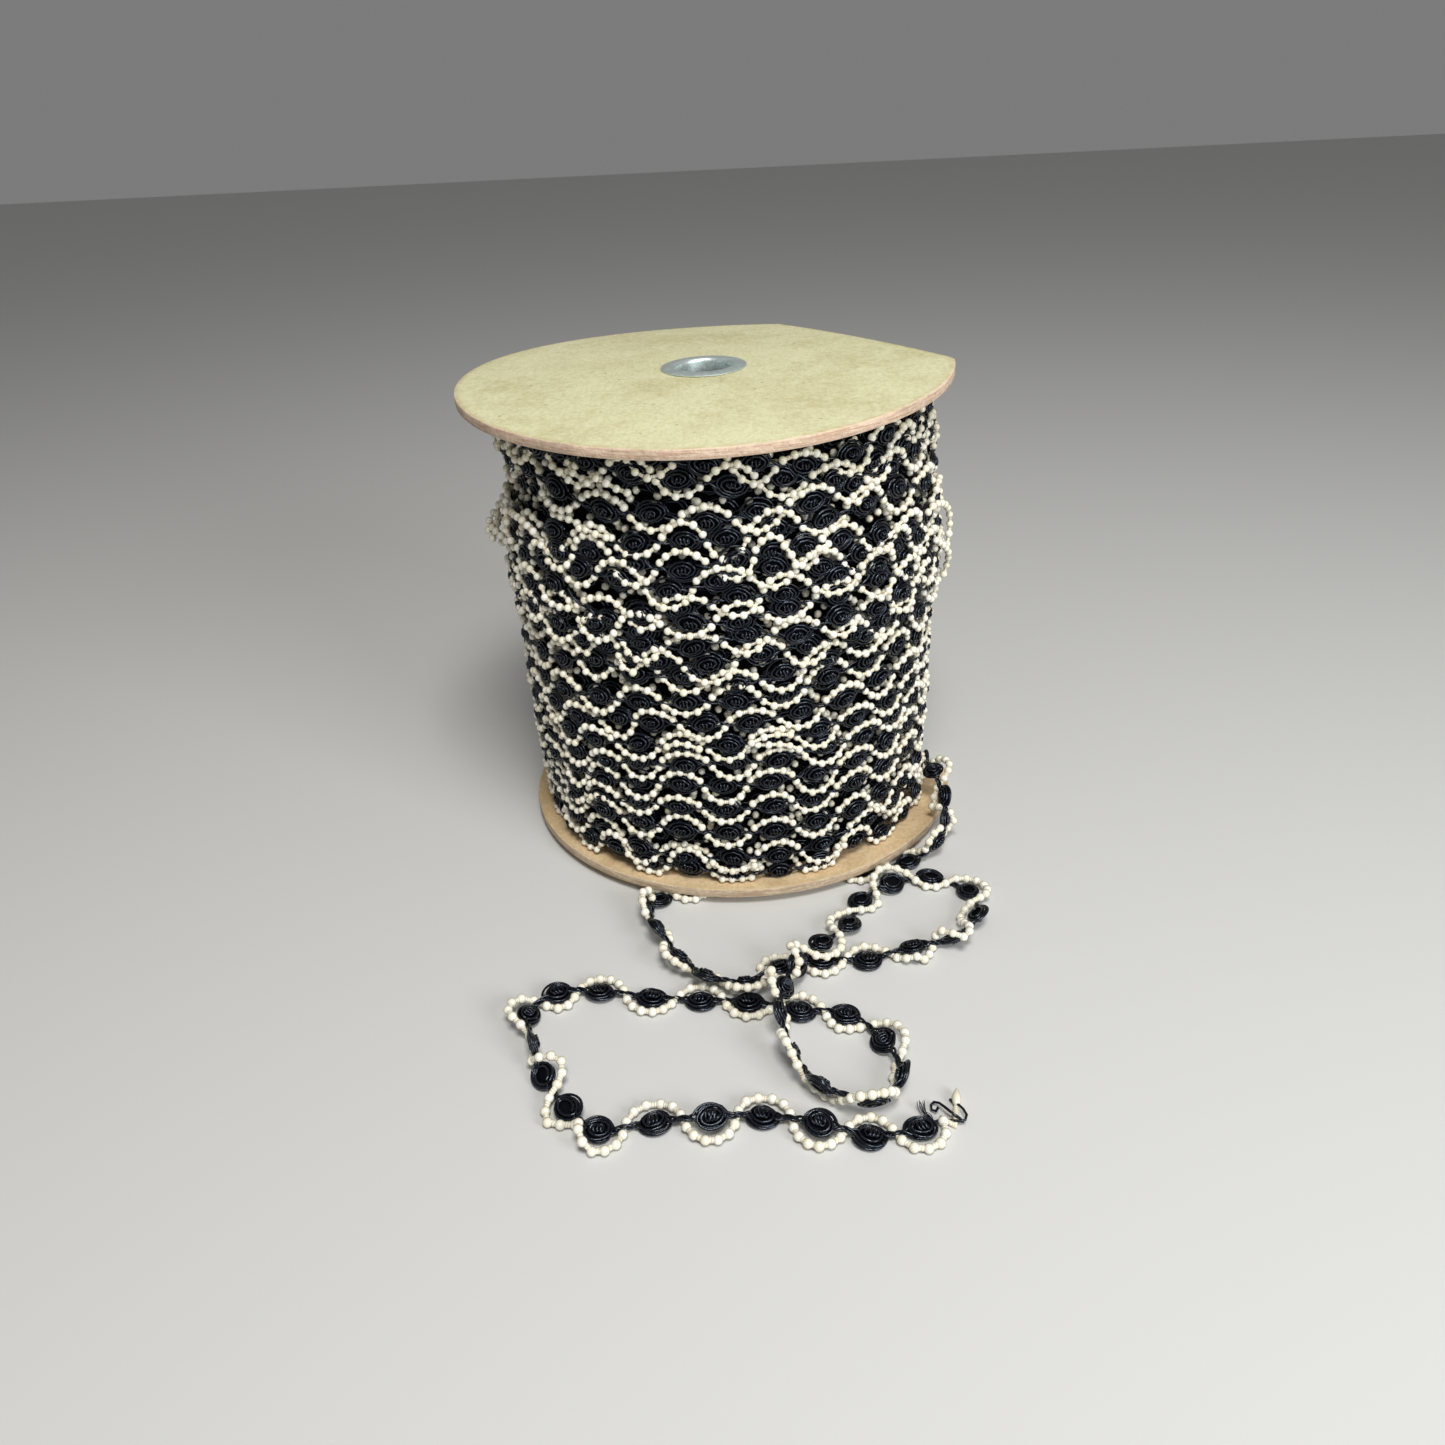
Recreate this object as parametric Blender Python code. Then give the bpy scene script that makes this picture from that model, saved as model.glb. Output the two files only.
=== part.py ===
"""A display reel of rosette trim: two board flanges, two steel eyelets, the wound trim and its loose end.

Standalone Blender 4.5 script: blender --background --python part.py
Metres, +Z up, +X to the right and +Y away from the front. The origin is the centre of the reel's footprint,
on the surface that it stands on. The reel leans back a little, because its front rim sits on the loose end.
"""

import math

import bmesh
import bpy
from mathutils import Matrix, Vector

MM = 0.001

# Trim, as it comes off the machine
ROSE_PITCH = 13.9 * MM       # one coiled rose to the next, pulled straight on the reel
TRIM_WIDTH = 14.3 * MM       # over the string's waves
TRIM_THICK = 2.5 * MM        # one pearl
ROSE_HALF_HEIGHT = 3.55 * MM
NECK_WIDTH = 4.6 * MM        # where the string crosses between two roses

# Flanges
FLANGE_RADIUS = 76.0 * MM
BOARD_THICK = 2.9 * MM
BOARD_HOLE_RADIUS = 9.4 * MM
RIM_CHAMFER = 0.35 * MM
FLAT_HALF_ANGLE = math.radians(37.5)   # the one straight edge, as a share of the circle
FLAT_DIRECTION = math.radians(32.5)    # it faces right and away
FLANGE_STEPS = 72
BOARD_RINGS = 4

# How the reel stands and how the top flange sits on it
REEL_HEIGHT = 152.4 * MM
REEL_TIP = math.radians(1.3)           # front rim up, on the loose end
CRUSHED_EDGE = 0.2 * MM                # depth of the flat spot under the back rim
REEL_CENTRE = Vector((3.39, 3.09, 0.0)) * MM
TOP_SHIFT = Vector((-6.5, -9.7, 0.0)) * MM
TOP_TILT = (math.radians(1.73), math.radians(-0.64))
TOP_BOW = 2.9 * MM                     # front and back edges of the top board droop by this

# Eyelets
EYELET_OUTER_RADIUS = 13.25 * MM
EYELET_BORE_RADIUS = 8.65 * MM
EYELET_WALL = 0.45 * MM
EYELET_CROWN = 0.75 * MM               # how proud the rolled lip stands
EYELET_TAIL = 1.6 * MM                 # barrel past the board
EYELET_STEPS = 36

# Winding
CORE_BORE_RADIUS = 12.0 * MM
WOUND_RADIUS_BOTTOM = 70.6 * MM
WOUND_RADIUS_TOP = 68.9 * MM
ROSE_RISE = 1.0 * MM                   # a rose above the mean surface
NECK_DROP = 0.7 * MM
FURROW_DROP = 2.6 * MM                 # the furrow between two turns
ROSES_PER_TURN = 32
CLEARANCE = 0.3 * MM
INNER_GAP = 0.5 * MM                   # winding to board
TUCKED_END = 24                        # half roses over which the last turn sinks in at the back
START_ANGLE = -10.0                    # degrees, where the loose end leaves the winding
START_HEIGHT = 9.0                     # mm above the lower board's underside
FACE_ANGLES = (-150.0, -125.0, -100.0, -75.0, -50.0, -25.0)

# One row for each turn that shows, from the lowest up: the angle of one rose whose string passes over it,
# then the height of the turn's middle, in mm, at each of FACE_ANGLES.
TURNS = (
    (-80.5, (7.0, 9.0, 8.0, 7.0, 8.5, 7.0)),
    (-80.4, (15.0, 15.0, 13.0, 13.5, 16.5, 14.0)),
    (-81.5, (24.0, 22.5, 22.7, 22.8, 23.8, 21.0)),
    (-81.0, (29.0, 29.5, 31.5, 32.0, 34.3, 30.5)),
    (-80.7, (37.5, 36.5, 40.0, 41.0, 42.8, 40.5)),
    (-78.5, (44.0, 43.8, 47.8, 48.8, 50.3, 49.0)),
    (-79.3, (50.5, 51.8, 54.8, 56.0, 57.6, 56.5)),
    (-84.0, (58.0, 59.5, 62.3, 63.7, 66.7, 63.5)),
    (-87.0, (65.5, 67.6, 69.6, 70.7, 75.0, 71.5)),
    (-87.0, (75.0, 79.2, 77.3, 78.0, 82.7, 79.5)),
    (-80.7, (83.0, 84.8, 83.2, 84.7, 87.7, 86.5)),
    (-71.8, (89.0, 89.8, 88.8, 90.2, 92.3, 92.0)),
    (-85.0, (94.0, 94.5, 95.0, 97.3, 100.3, 98.0)),
    (-73.5, (99.5, 99.8, 101.0, 103.0, 105.4, 103.0)),
    (-87.8, (105.5, 107.8, 107.2, 109.0, 110.3, 108.0)),
    (-96.4, (111.5, 113.0, 113.0, 114.8, 116.0, 114.0)),
    (-95.2, (117.0, 118.6, 120.2, 121.2, 123.0, 120.5)),
    (-90.0, (128.0, 129.5, 127.3, 127.9, 130.0, 129.5)),
    (-83.5, (136.5, 137.5, 136.5, 135.3, 136.0, 136.0)),
    (-67.0, (141.0, 141.4, 141.4, 140.8, 140.7, 141.0)),
)

# Loose end
LOOSE_THICK = 2.4 * MM
STATIONS_PER_ROSE = 4
FIRST_PLACE = 0.7                      # where the band starts and ends, in roses
LAST_PLACE = 54.9

# The loose end's roses, one row each, from the winding to the frayed end: x, y and z of the centre in mm, and how
# far the band is turned about its own line, in degrees (0 lies flat, 90 stands on edge). The string passes on the
# right of the first rose, which is still wound, on the left of the next, and so on. The last row is the frayed tip.
LOOSE_ROSES = (
    (75.0, -8.5, 12.2, 78),
    (74.6, -21.5, 12.8, 72),
    (72.8, -33.3, 12.4, 66),
    (71.0, -43.2, 10.2, -84),
    (67.9, -51.8, 6.6, -100),
    (57.4, -54.4, 1.2, -180),
    (41.2, -58.0, 1.2, -180),
    (27.2, -59.4, 1.2, -180),
    (13.4, -60.2, 1.2, -180),
    (-0.7, -62.0, 1.2, -180),
    (-14.8, -64.9, 1.2, -180),
    (-24.9, -70.0, 1.2, -180),
    (-27.7, -77.2, 3.9, -80),
    (-24.0, -90.0, 6.3, -50),
    (-17.1, -100.3, 3.5, -38),
    (-8.8, -110.9, 5.1, -35),
    (2.7, -111.8, 2.8, -28),
    (12.6, -105.2, 2.6, -14),
    (25.5, -101.9, 1.4, -2),
    (39.1, -102.0, 1.2, 0),
    (53.0, -97.9, 2.1, -14),
    (65.4, -95.2, 3.1, 144),
    (74.1, -86.7, 4.6, 148),
    (74.4, -71.3, 1.5, 176),
    (63.6, -63.2, 1.3, 180),
    (50.5, -67.1, 2.7, 155),
    (40.0, -73.9, 1.3, 180),
    (34.9, -86.4, 2.3, 180),
    (25.6, -98.8, 5.7, 178),
    (18.0, -108.8, 6.6, 118),
    (13.5, -118.8, 7.5, -50),
    (11.6, -130.3, 8.7, -68),
    (14.5, -141.5, 5.0, -70),
    (20.9, -155.3, 7.1, -70),
    (34.3, -159.1, 4.9, -64),
    (42.7, -150.8, 5.0, -68),
    (39.7, -135.4, 2.1, -15),
    (30.4, -124.7, 1.4, 2),
    (17.7, -122.2, 1.2, 0),
    (3.3, -118.3, 1.2, 0),
    (-10.7, -117.0, 1.2, 0),
    (-24.6, -115.1, 1.2, 0),
    (-39.8, -112.4, 1.7, 4),
    (-51.9, -113.0, 2.5, -10),
    (-59.4, -121.6, 2.6, -25),
    (-55.9, -135.7, 5.6, -88),
    (-51.7, -144.8, 2.9, -148),
    (-44.2, -156.4, 2.7, -168),
    (-35.6, -163.5, 2.2, 8),
    (-21.7, -160.5, 1.2, 0),
    (-7.0, -161.9, 4.2, 25),
    (6.1, -159.8, 1.4, 2),
    (20.2, -164.4, 3.6, 20),
    (32.6, -166.9, 1.2, 0),
    (45.3, -165.7, 1.9, 5),
    (54.4, -157.4, 2.0, 5),
)

# Colours as seen, with roughness and metallic
BOARD_COLOUR = (0.62, 0.56, 0.36, 1.0)
STEEL_COLOUR = (0.55, 0.58, 0.62, 1.0)
CORD_COLOUR = (0.012, 0.013, 0.018, 1.0)


def new_collection(name: str) -> bpy.types.Collection:
    """Add an empty collection to the scene."""
    made = bpy.data.collections.new(name)
    bpy.context.scene.collection.children.link(made)
    return made


def plain_material(name: str, colour: tuple, roughness: float, metallic: float) -> bpy.types.Material:
    """Make a Principled material of one colour."""
    material = bpy.data.materials.new(name)
    material.use_nodes = True
    shader = material.node_tree.nodes["Principled BSDF"]
    shader.inputs["Base Color"].default_value = colour
    shader.inputs["Roughness"].default_value = roughness
    shader.inputs["Metallic"].default_value = metallic
    return material


def add_object(name: str, shape: bmesh.types.BMesh, home, material, parent=None) -> bpy.types.Object:
    """Turn a bmesh into a smooth-shaded object with outward faces."""
    bmesh.ops.recalc_face_normals(shape, faces=shape.faces)
    mesh = bpy.data.meshes.new(name)
    shape.to_mesh(mesh)
    shape.free()
    mesh.shade_smooth()
    mesh.set_sharp_from_angle(angle=math.radians(35.0))
    mesh.materials.append(material)
    made = bpy.data.objects.new(name, mesh)
    home.objects.link(made)
    made.parent = parent
    return made


def outline_radius(angle: float) -> float:
    """Distance from a flange's centre to its edge, with the straight flat."""
    off = math.atan2(math.sin(angle - FLAT_DIRECTION), math.cos(angle - FLAT_DIRECTION))
    if abs(off) >= FLAT_HALF_ANGLE:
        return FLANGE_RADIUS
    return FLANGE_RADIUS * math.cos(FLAT_HALF_ANGLE) / math.cos(off)


def top_board_drop(across: float) -> float:
    """How far the top board droops at a distance across it, front to back."""
    return TOP_BOW * (across / FLANGE_RADIUS) ** 2


def make_flange(name: str, home, material, parent, bow: bool) -> bpy.types.Object:
    """A board disc with a hole, a straight edge and chamfered rims; its underside is at z = 0."""
    shape = bmesh.new()
    radii = [BOARD_HOLE_RADIUS + (FLANGE_RADIUS - RIM_CHAMFER - BOARD_HOLE_RADIUS) * i / BOARD_RINGS
             for i in range(BOARD_RINGS + 1)]
    section = [(r, 0.0) for r in radii]
    section += [(FLANGE_RADIUS, RIM_CHAMFER), (FLANGE_RADIUS, BOARD_THICK - RIM_CHAMFER)]
    section += [(r, BOARD_THICK) for r in reversed(radii)]
    points = [shape.verts.new((r, 0.0, z)) for r, z in section]
    edges = [shape.edges.new((points[i], points[(i + 1) % len(points)])) for i in range(len(points))]
    bmesh.ops.spin(shape, geom=points + edges, axis=(0, 0, 1), cent=(0, 0, 0), angle=math.tau,
                   steps=FLANGE_STEPS, use_merge=True)
    bmesh.ops.remove_doubles(shape, verts=shape.verts, dist=0.00001)
    for vert in shape.verts:
        angle = math.atan2(vert.co.y, vert.co.x)
        radius = math.hypot(vert.co.x, vert.co.y)
        share = (radius - BOARD_HOLE_RADIUS) / (FLANGE_RADIUS - BOARD_HOLE_RADIUS)
        moved = BOARD_HOLE_RADIUS + share * (outline_radius(angle) - BOARD_HOLE_RADIUS)
        vert.co.x *= moved / radius
        vert.co.y *= moved / radius
        if bow:
            vert.co.z -= top_board_drop(vert.co.y)
    return add_object(name, shape, home, material, parent)


def crush_back_edge(flange: bpy.types.Object) -> None:
    """Cut the lower flange level where its back rim bears on the surface."""
    to_world = flange.matrix_world.copy()
    level = to_world.inverted() @ Vector((0.0, 0.0, 0.0))
    up = (to_world.to_3x3().inverted() @ Vector((0.0, 0.0, 1.0))).normalized()
    shape = bmesh.new()
    shape.from_mesh(flange.data)
    cut = bmesh.ops.bisect_plane(shape, geom=shape.verts[:] + shape.edges[:] + shape.faces[:],
                                 dist=0.000001, plane_co=level, plane_no=up, clear_inner=True)
    rim = [g for g in cut["geom_cut"] if isinstance(g, bmesh.types.BMEdge)]
    bmesh.ops.edgenet_fill(shape, edges=rim)
    bmesh.ops.recalc_face_normals(shape, faces=shape.faces)
    shape.to_mesh(flange.data)
    shape.free()
    flange.data.set_sharp_from_angle(angle=math.radians(35.0))


def make_eyelet(name: str, home, material, parent) -> bpy.types.Object:
    """A rolled steel eyelet, its lip resting on z = 0 and its barrel going down through the board."""
    lip_inner = EYELET_BORE_RADIUS + EYELET_WALL
    tail = -BOARD_THICK - CLEARANCE - EYELET_TAIL
    section = (
        (EYELET_BORE_RADIUS, tail),
        (lip_inner, tail),
        (lip_inner, -CLEARANCE * 0.5),
        (lip_inner + CLEARANCE, 0.0),
        (EYELET_OUTER_RADIUS, 0.0),
        (EYELET_OUTER_RADIUS - 0.2 * MM, 0.35 * MM),
        (EYELET_OUTER_RADIUS - 1.8 * MM, EYELET_CROWN),
        (EYELET_BORE_RADIUS + 1.0 * MM, EYELET_CROWN * 0.8),
        (EYELET_BORE_RADIUS, 0.1 * MM),
    )
    shape = bmesh.new()
    points = [shape.verts.new((r, 0.0, z)) for r, z in section]
    edges = [shape.edges.new((points[i], points[(i + 1) % len(points)])) for i in range(len(points))]
    bmesh.ops.spin(shape, geom=points + edges, axis=(0, 0, 1), cent=(0, 0, 0), angle=math.tau,
                   steps=EYELET_STEPS, use_merge=True)
    bmesh.ops.remove_doubles(shape, verts=shape.verts, dist=0.00001)
    return add_object(name, shape, home, material, parent)


def smooth_step(share: float) -> float:
    """Ease from 0 to 1."""
    share = min(1.0, max(0.0, share))
    return share * share * (3.0 - 2.0 * share)


def turn_height(angle: float) -> float:
    """Height of the wound trim's middle at an angle counted on from turn to turn, in mm.

    The angle is in degrees. 210 is the left end of the first turn's face, and each turn adds 360.
    """
    knots = [(START_ANGLE, START_HEIGHT), (90.0, START_HEIGHT - 3.2)]
    for turn, (_, heights) in enumerate(TURNS):
        knots += [(a + 360.0 * (turn + 1), h) for a, h in zip(FACE_ANGLES, heights)]
    knots.append((knots[-1][0] + 235.0, knots[-1][1] + 0.6))
    for (a0, h0), (a1, h1) in zip(knots, knots[1:]):
        if angle <= a1:
            return h0 + (h1 - h0) * smooth_step((angle - a0) / (a1 - a0))
    return knots[-1][1]


def rose_angles() -> list:
    """The angle of every half rose along the winding, in degrees, roses on even places."""
    marks = [(phase + 360.0 * (turn + 1), ROSES_PER_TURN * (turn + 1)) for turn, (phase, _) in enumerate(TURNS)]
    total = ROSES_PER_TURN * (len(TURNS) + 1)
    marks.insert(0, (marks[0][0] - 360.0, 0))
    # The last turn closes exactly, whatever the one below it did.
    marks.append((2.0 * marks[-1][0] + 720.0 - marks[-1][0] - (marks[-1][0] - marks[-2][0]), total))
    angles = []
    for half in range(2 * total + 1):
        place = half / 2.0
        turn = min(int(place // ROSES_PER_TURN), len(marks) - 2)
        share = place / ROSES_PER_TURN - turn
        angles.append(marks[turn][0] + (marks[turn + 1][0] - marks[turn][0]) * share)
    return angles


def wound_radius(height: float) -> float:
    """Mean radius of the winding at a height in metres."""
    return WOUND_RADIUS_BOTTOM + (WOUND_RADIUS_TOP - WOUND_RADIUS_BOTTOM) * height / REEL_HEIGHT


def axis_shift(height: float) -> Vector:
    """Where the leaning reel's axis is at a height in metres."""
    return TOP_SHIFT * (height / REEL_HEIGHT)


def on_winding(angle: float, height: float, radius: float) -> Vector:
    """A point of the winding from its angle in degrees, and its height and radius in metres."""
    turned = math.radians(angle)
    shift = axis_shift(height)
    return Vector((shift.x + radius * math.cos(turned), shift.y + radius * math.sin(turned), height))


def under_top_board(point: Vector) -> float:
    """Height of the top board's underside over a point."""
    across_x = point.x - TOP_SHIFT.x
    across_y = point.y - TOP_SHIFT.y
    tilt = across_y * math.sin(TOP_TILT[0]) - across_x * math.sin(TOP_TILT[1])
    return REEL_HEIGHT - BOARD_THICK - top_board_drop(across_y) + tilt


def make_winding(home, material, parent) -> bpy.types.Object:
    """The wound trim as one ridged solid: each turn is a ridge of rose-sized bumps, with a furrow above it."""
    angles = rose_angles()
    columns = 2 * ROSES_PER_TURN
    # The ridge starts on the first full turn, so each ridge place has a place one turn above it.
    turns = len(TURNS)
    ridges, furrows = [], []
    shape = bmesh.new()
    for place in range(turns * columns + 1):
        angle = angles[place + columns // 2]
        height = turn_height(angle) * MM
        rise = ROSE_RISE if (place + columns // 2) % 2 == 0 else -NECK_DROP
        tuck = smooth_step((place - turns * columns + TUCKED_END) / TUCKED_END)
        rise -= (rise + FURROW_DROP) * tuck
        ridges.append(shape.verts.new(on_winding(angle, height, wound_radius(height) + rise)))
        if place <= (turns - 1) * columns:
            above = angles[place + columns // 2 + columns]
            middle = (height + turn_height(above) * MM) / 2.0
            between = (angle + above - 360.0) / 2.0
            furrows.append(shape.verts.new(on_winding(between, middle, wound_radius(middle) - FURROW_DROP)))
    foot, crown = [], []
    foot_height = BOARD_THICK + INNER_GAP
    first_angle = angles[columns // 2]
    last_angle = angles[turns * columns + columns // 2]
    for column in range(columns):
        step = 360.0 * column / columns
        foot.append(shape.verts.new(on_winding(first_angle + step, foot_height, WOUND_RADIUS_BOTTOM - FURROW_DROP)))
        point = on_winding(last_angle + step, REEL_HEIGHT, WOUND_RADIUS_TOP - FURROW_DROP)
        point.z = under_top_board(point) - INNER_GAP
        crown.append(shape.verts.new(point))
    for place in range((turns - 1) * columns):
        shape.faces.new((ridges[place], ridges[place + 1], furrows[place + 1], furrows[place]))
        above = place + columns
        shape.faces.new((furrows[place], furrows[place + 1], ridges[above + 1], ridges[above]))
    top_start = (turns - 1) * columns
    for column in range(columns):
        after = (column + 1) % columns
        if after:
            shape.faces.new((foot[column], foot[after], ridges[after], ridges[column]))
            shape.faces.new((ridges[top_start + column], ridges[top_start + after], crown[after], crown[column]))
    # The steps where the first turn starts and the last one ends
    shape.faces.new((foot[-1], foot[0], ridges[0], furrows[0], ridges[columns], ridges[columns - 1]))
    last = turns * columns
    shape.faces.new((ridges[last - 1], ridges[last], furrows[top_start], ridges[top_start], crown[0], crown[-1]))
    bore_low, bore_high = [], []
    for column in range(columns):
        step = 360.0 * column / columns
        bore_low.append(shape.verts.new(on_winding(first_angle + step, foot_height, CORE_BORE_RADIUS)))
        point = on_winding(last_angle + step, REEL_HEIGHT, CORE_BORE_RADIUS)
        point.z = under_top_board(point) - INNER_GAP
        bore_high.append(shape.verts.new(point))
    for column in range(columns):
        after = (column + 1) % columns
        shape.faces.new((foot[after], foot[column], bore_low[column], bore_low[after]))
        shape.faces.new((crown[column], crown[after], bore_high[after], bore_high[column]))
        shape.faces.new((bore_low[after], bore_low[column], bore_high[column], bore_high[after]))
    return add_object("wound_roll", shape, home, material, parent)


def route_at(place: float) -> tuple:
    """The band's centre in metres and its turn in radians at a place counted in roses, on one smooth curve."""
    index = min(max(int(math.floor(place)), 0), len(LOOSE_ROSES) - 2)
    t = place - index
    rows = [LOOSE_ROSES[min(max(index + k, 0), len(LOOSE_ROSES) - 1)] for k in (-1, 0, 1, 2)]
    x, y, z, _ = (
        0.5 * (2 * b + (c - a) * t + (2 * a - 5 * b + 4 * c - d) * t * t + (3 * b - a - 3 * c + d) * t ** 3)
        for a, b, c, d in zip(*rows))
    twist = rows[2][3] - rows[1][3]
    # Where the band turns right over it twists evenly from one rose to the next.
    turn = rows[1][3] + twist * (t if abs(twist) > 120.0 else smooth_step(t))
    return Vector((x, y, z)) * MM, math.radians(turn)


def band_section(place: float) -> list:
    """Six points round the band at a place: wide on the string's side of a rose, narrow at a neck."""
    centre, turn = route_at(place)
    forward = (route_at(place + 0.05)[0] - route_at(place - 0.05)[0]).normalized()
    left = Vector((0.0, 0.0, 1.0)).cross(forward).normalized()
    up = forward.cross(left)
    side = left * math.cos(turn) + up * math.sin(turn)
    face = up * math.cos(turn) - left * math.sin(turn)
    wave = -math.cos(math.pi * place)
    swell = 0.5 + 0.5 * math.cos(math.tau * place)
    reach = NECK_WIDTH / 2 + (TRIM_WIDTH / 2 - NECK_WIDTH / 2) * abs(wave)
    near = max(NECK_WIDTH / 2, ROSE_HALF_HEIGHT * swell)
    left_reach, right_reach = (reach, near) if wave >= 0.0 else (near, reach)
    half = LOOSE_THICK / 2.0
    flat = ((left_reach, 0.0), (left_reach * 0.7, half), (-right_reach * 0.7, half),
            (-right_reach, 0.0), (-right_reach * 0.7, -half), (left_reach * 0.7, -half))
    points = [centre + side * a + face * b for a, b in flat]
    lowest = min(p.z for p in points)
    if lowest < 0.0:
        points = [p - Vector((0.0, 0.0, lowest)) for p in points]
    return points


def make_loose_end(home, material) -> bpy.types.Object:
    """The band of trim that lies in front of the reel, scalloped where the string waves round each rose."""
    count = int(round((LAST_PLACE - FIRST_PLACE) * STATIONS_PER_ROSE))
    shape = bmesh.new()
    rings = []
    for station in range(count + 1):
        place = FIRST_PLACE + (LAST_PLACE - FIRST_PLACE) * station / count
        rings.append([shape.verts.new(p) for p in band_section(place)])
    for ring, after in zip(rings, rings[1:]):
        for k in range(len(ring)):
            n = (k + 1) % len(ring)
            shape.faces.new((ring[k], ring[n], after[n], after[k]))
    shape.faces.new(rings[0])
    shape.faces.new(rings[-1])
    return add_object("loose_trim", shape, home, material)


def main() -> None:
    """Build the reel and its loose end."""
    for old in list(bpy.data.objects):
        bpy.data.objects.remove(old)
    home = new_collection("rosette_trim_reel")
    board = plain_material("flange_board", BOARD_COLOUR, 0.85, 0.0)
    steel = plain_material("eyelet_steel", STEEL_COLOUR, 0.3, 1.0)
    wound = plain_material("wound_trim", CORD_COLOUR, 0.55, 0.0)
    loose = plain_material("loose_trim", CORD_COLOUR, 0.5, 0.0)

    reel = bpy.data.objects.new("reel_seat", None)
    home.objects.link(reel)
    seat_height = FLANGE_RADIUS * math.sin(REEL_TIP) - CRUSHED_EDGE
    reel.location = REEL_CENTRE + Vector((0.0, 0.0, seat_height))
    reel.rotation_euler = (-REEL_TIP, 0.0, 0.0)

    lower = make_flange("flange_bottom", home, board, reel, bow=False)
    upper = make_flange("flange_top", home, board, reel, bow=True)
    top_turn = Matrix.Rotation(TOP_TILT[0], 4, "X") @ Matrix.Rotation(TOP_TILT[1], 4, "Y")
    top_face = TOP_SHIFT + Vector((0.0, 0.0, REEL_HEIGHT))
    to_board = top_turn.to_3x3() @ Vector((0.0, 0.0, 1.0))
    upper.location = top_face - to_board * BOARD_THICK
    upper.rotation_euler = top_turn.to_euler()

    eyelet_up = make_eyelet("eyelet_top", home, steel, reel)
    eyelet_up.location = top_face + to_board * CLEARANCE
    eyelet_up.rotation_euler = top_turn.to_euler()
    eyelet_down = make_eyelet("eyelet_bottom", home, steel, reel)
    eyelet_down.location = (0.0, 0.0, -CLEARANCE)
    eyelet_down.rotation_euler = (math.pi, 0.0, 0.0)

    make_winding(home, wound, reel)
    make_loose_end(home, loose)
    bpy.context.view_layer.update()
    crush_back_edge(lower)


main()
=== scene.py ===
"""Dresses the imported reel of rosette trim: its boards, eyelets, wound trim and the loose end in front of it.

Metres in every mesh; the tables and sizes of the trim are in millimetres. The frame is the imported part's own: +Z up,
+X to the right, +Y away from the front, with the origin under the middle of the reel.
"""
import logging
import math
from dataclasses import dataclass, field
from enum import Enum

import bmesh
import bpy
import numpy as np
from bmesh.types import BMesh
from bpy.types import ID, Material, Node, NodeSocket, NodeTree, Object
from mathutils import Matrix, Vector
from numpy import ndarray
from numpy.random import Generator


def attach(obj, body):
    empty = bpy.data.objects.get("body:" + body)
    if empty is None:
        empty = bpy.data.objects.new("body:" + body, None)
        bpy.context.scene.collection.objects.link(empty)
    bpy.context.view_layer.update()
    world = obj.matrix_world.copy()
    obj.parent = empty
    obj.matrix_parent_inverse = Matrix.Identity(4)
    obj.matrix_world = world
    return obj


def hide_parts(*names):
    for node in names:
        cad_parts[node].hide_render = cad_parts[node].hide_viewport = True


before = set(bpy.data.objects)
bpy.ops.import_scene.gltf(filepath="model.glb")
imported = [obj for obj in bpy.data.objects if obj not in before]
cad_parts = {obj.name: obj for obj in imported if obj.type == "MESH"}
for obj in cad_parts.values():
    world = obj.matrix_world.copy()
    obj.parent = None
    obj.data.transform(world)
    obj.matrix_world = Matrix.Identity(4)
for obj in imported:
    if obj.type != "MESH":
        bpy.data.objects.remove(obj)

LOG = logging.getLogger("rosette_trim")
MM = 0.001
BODY = "root"
Feed = NodeSocket | float | tuple

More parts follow.
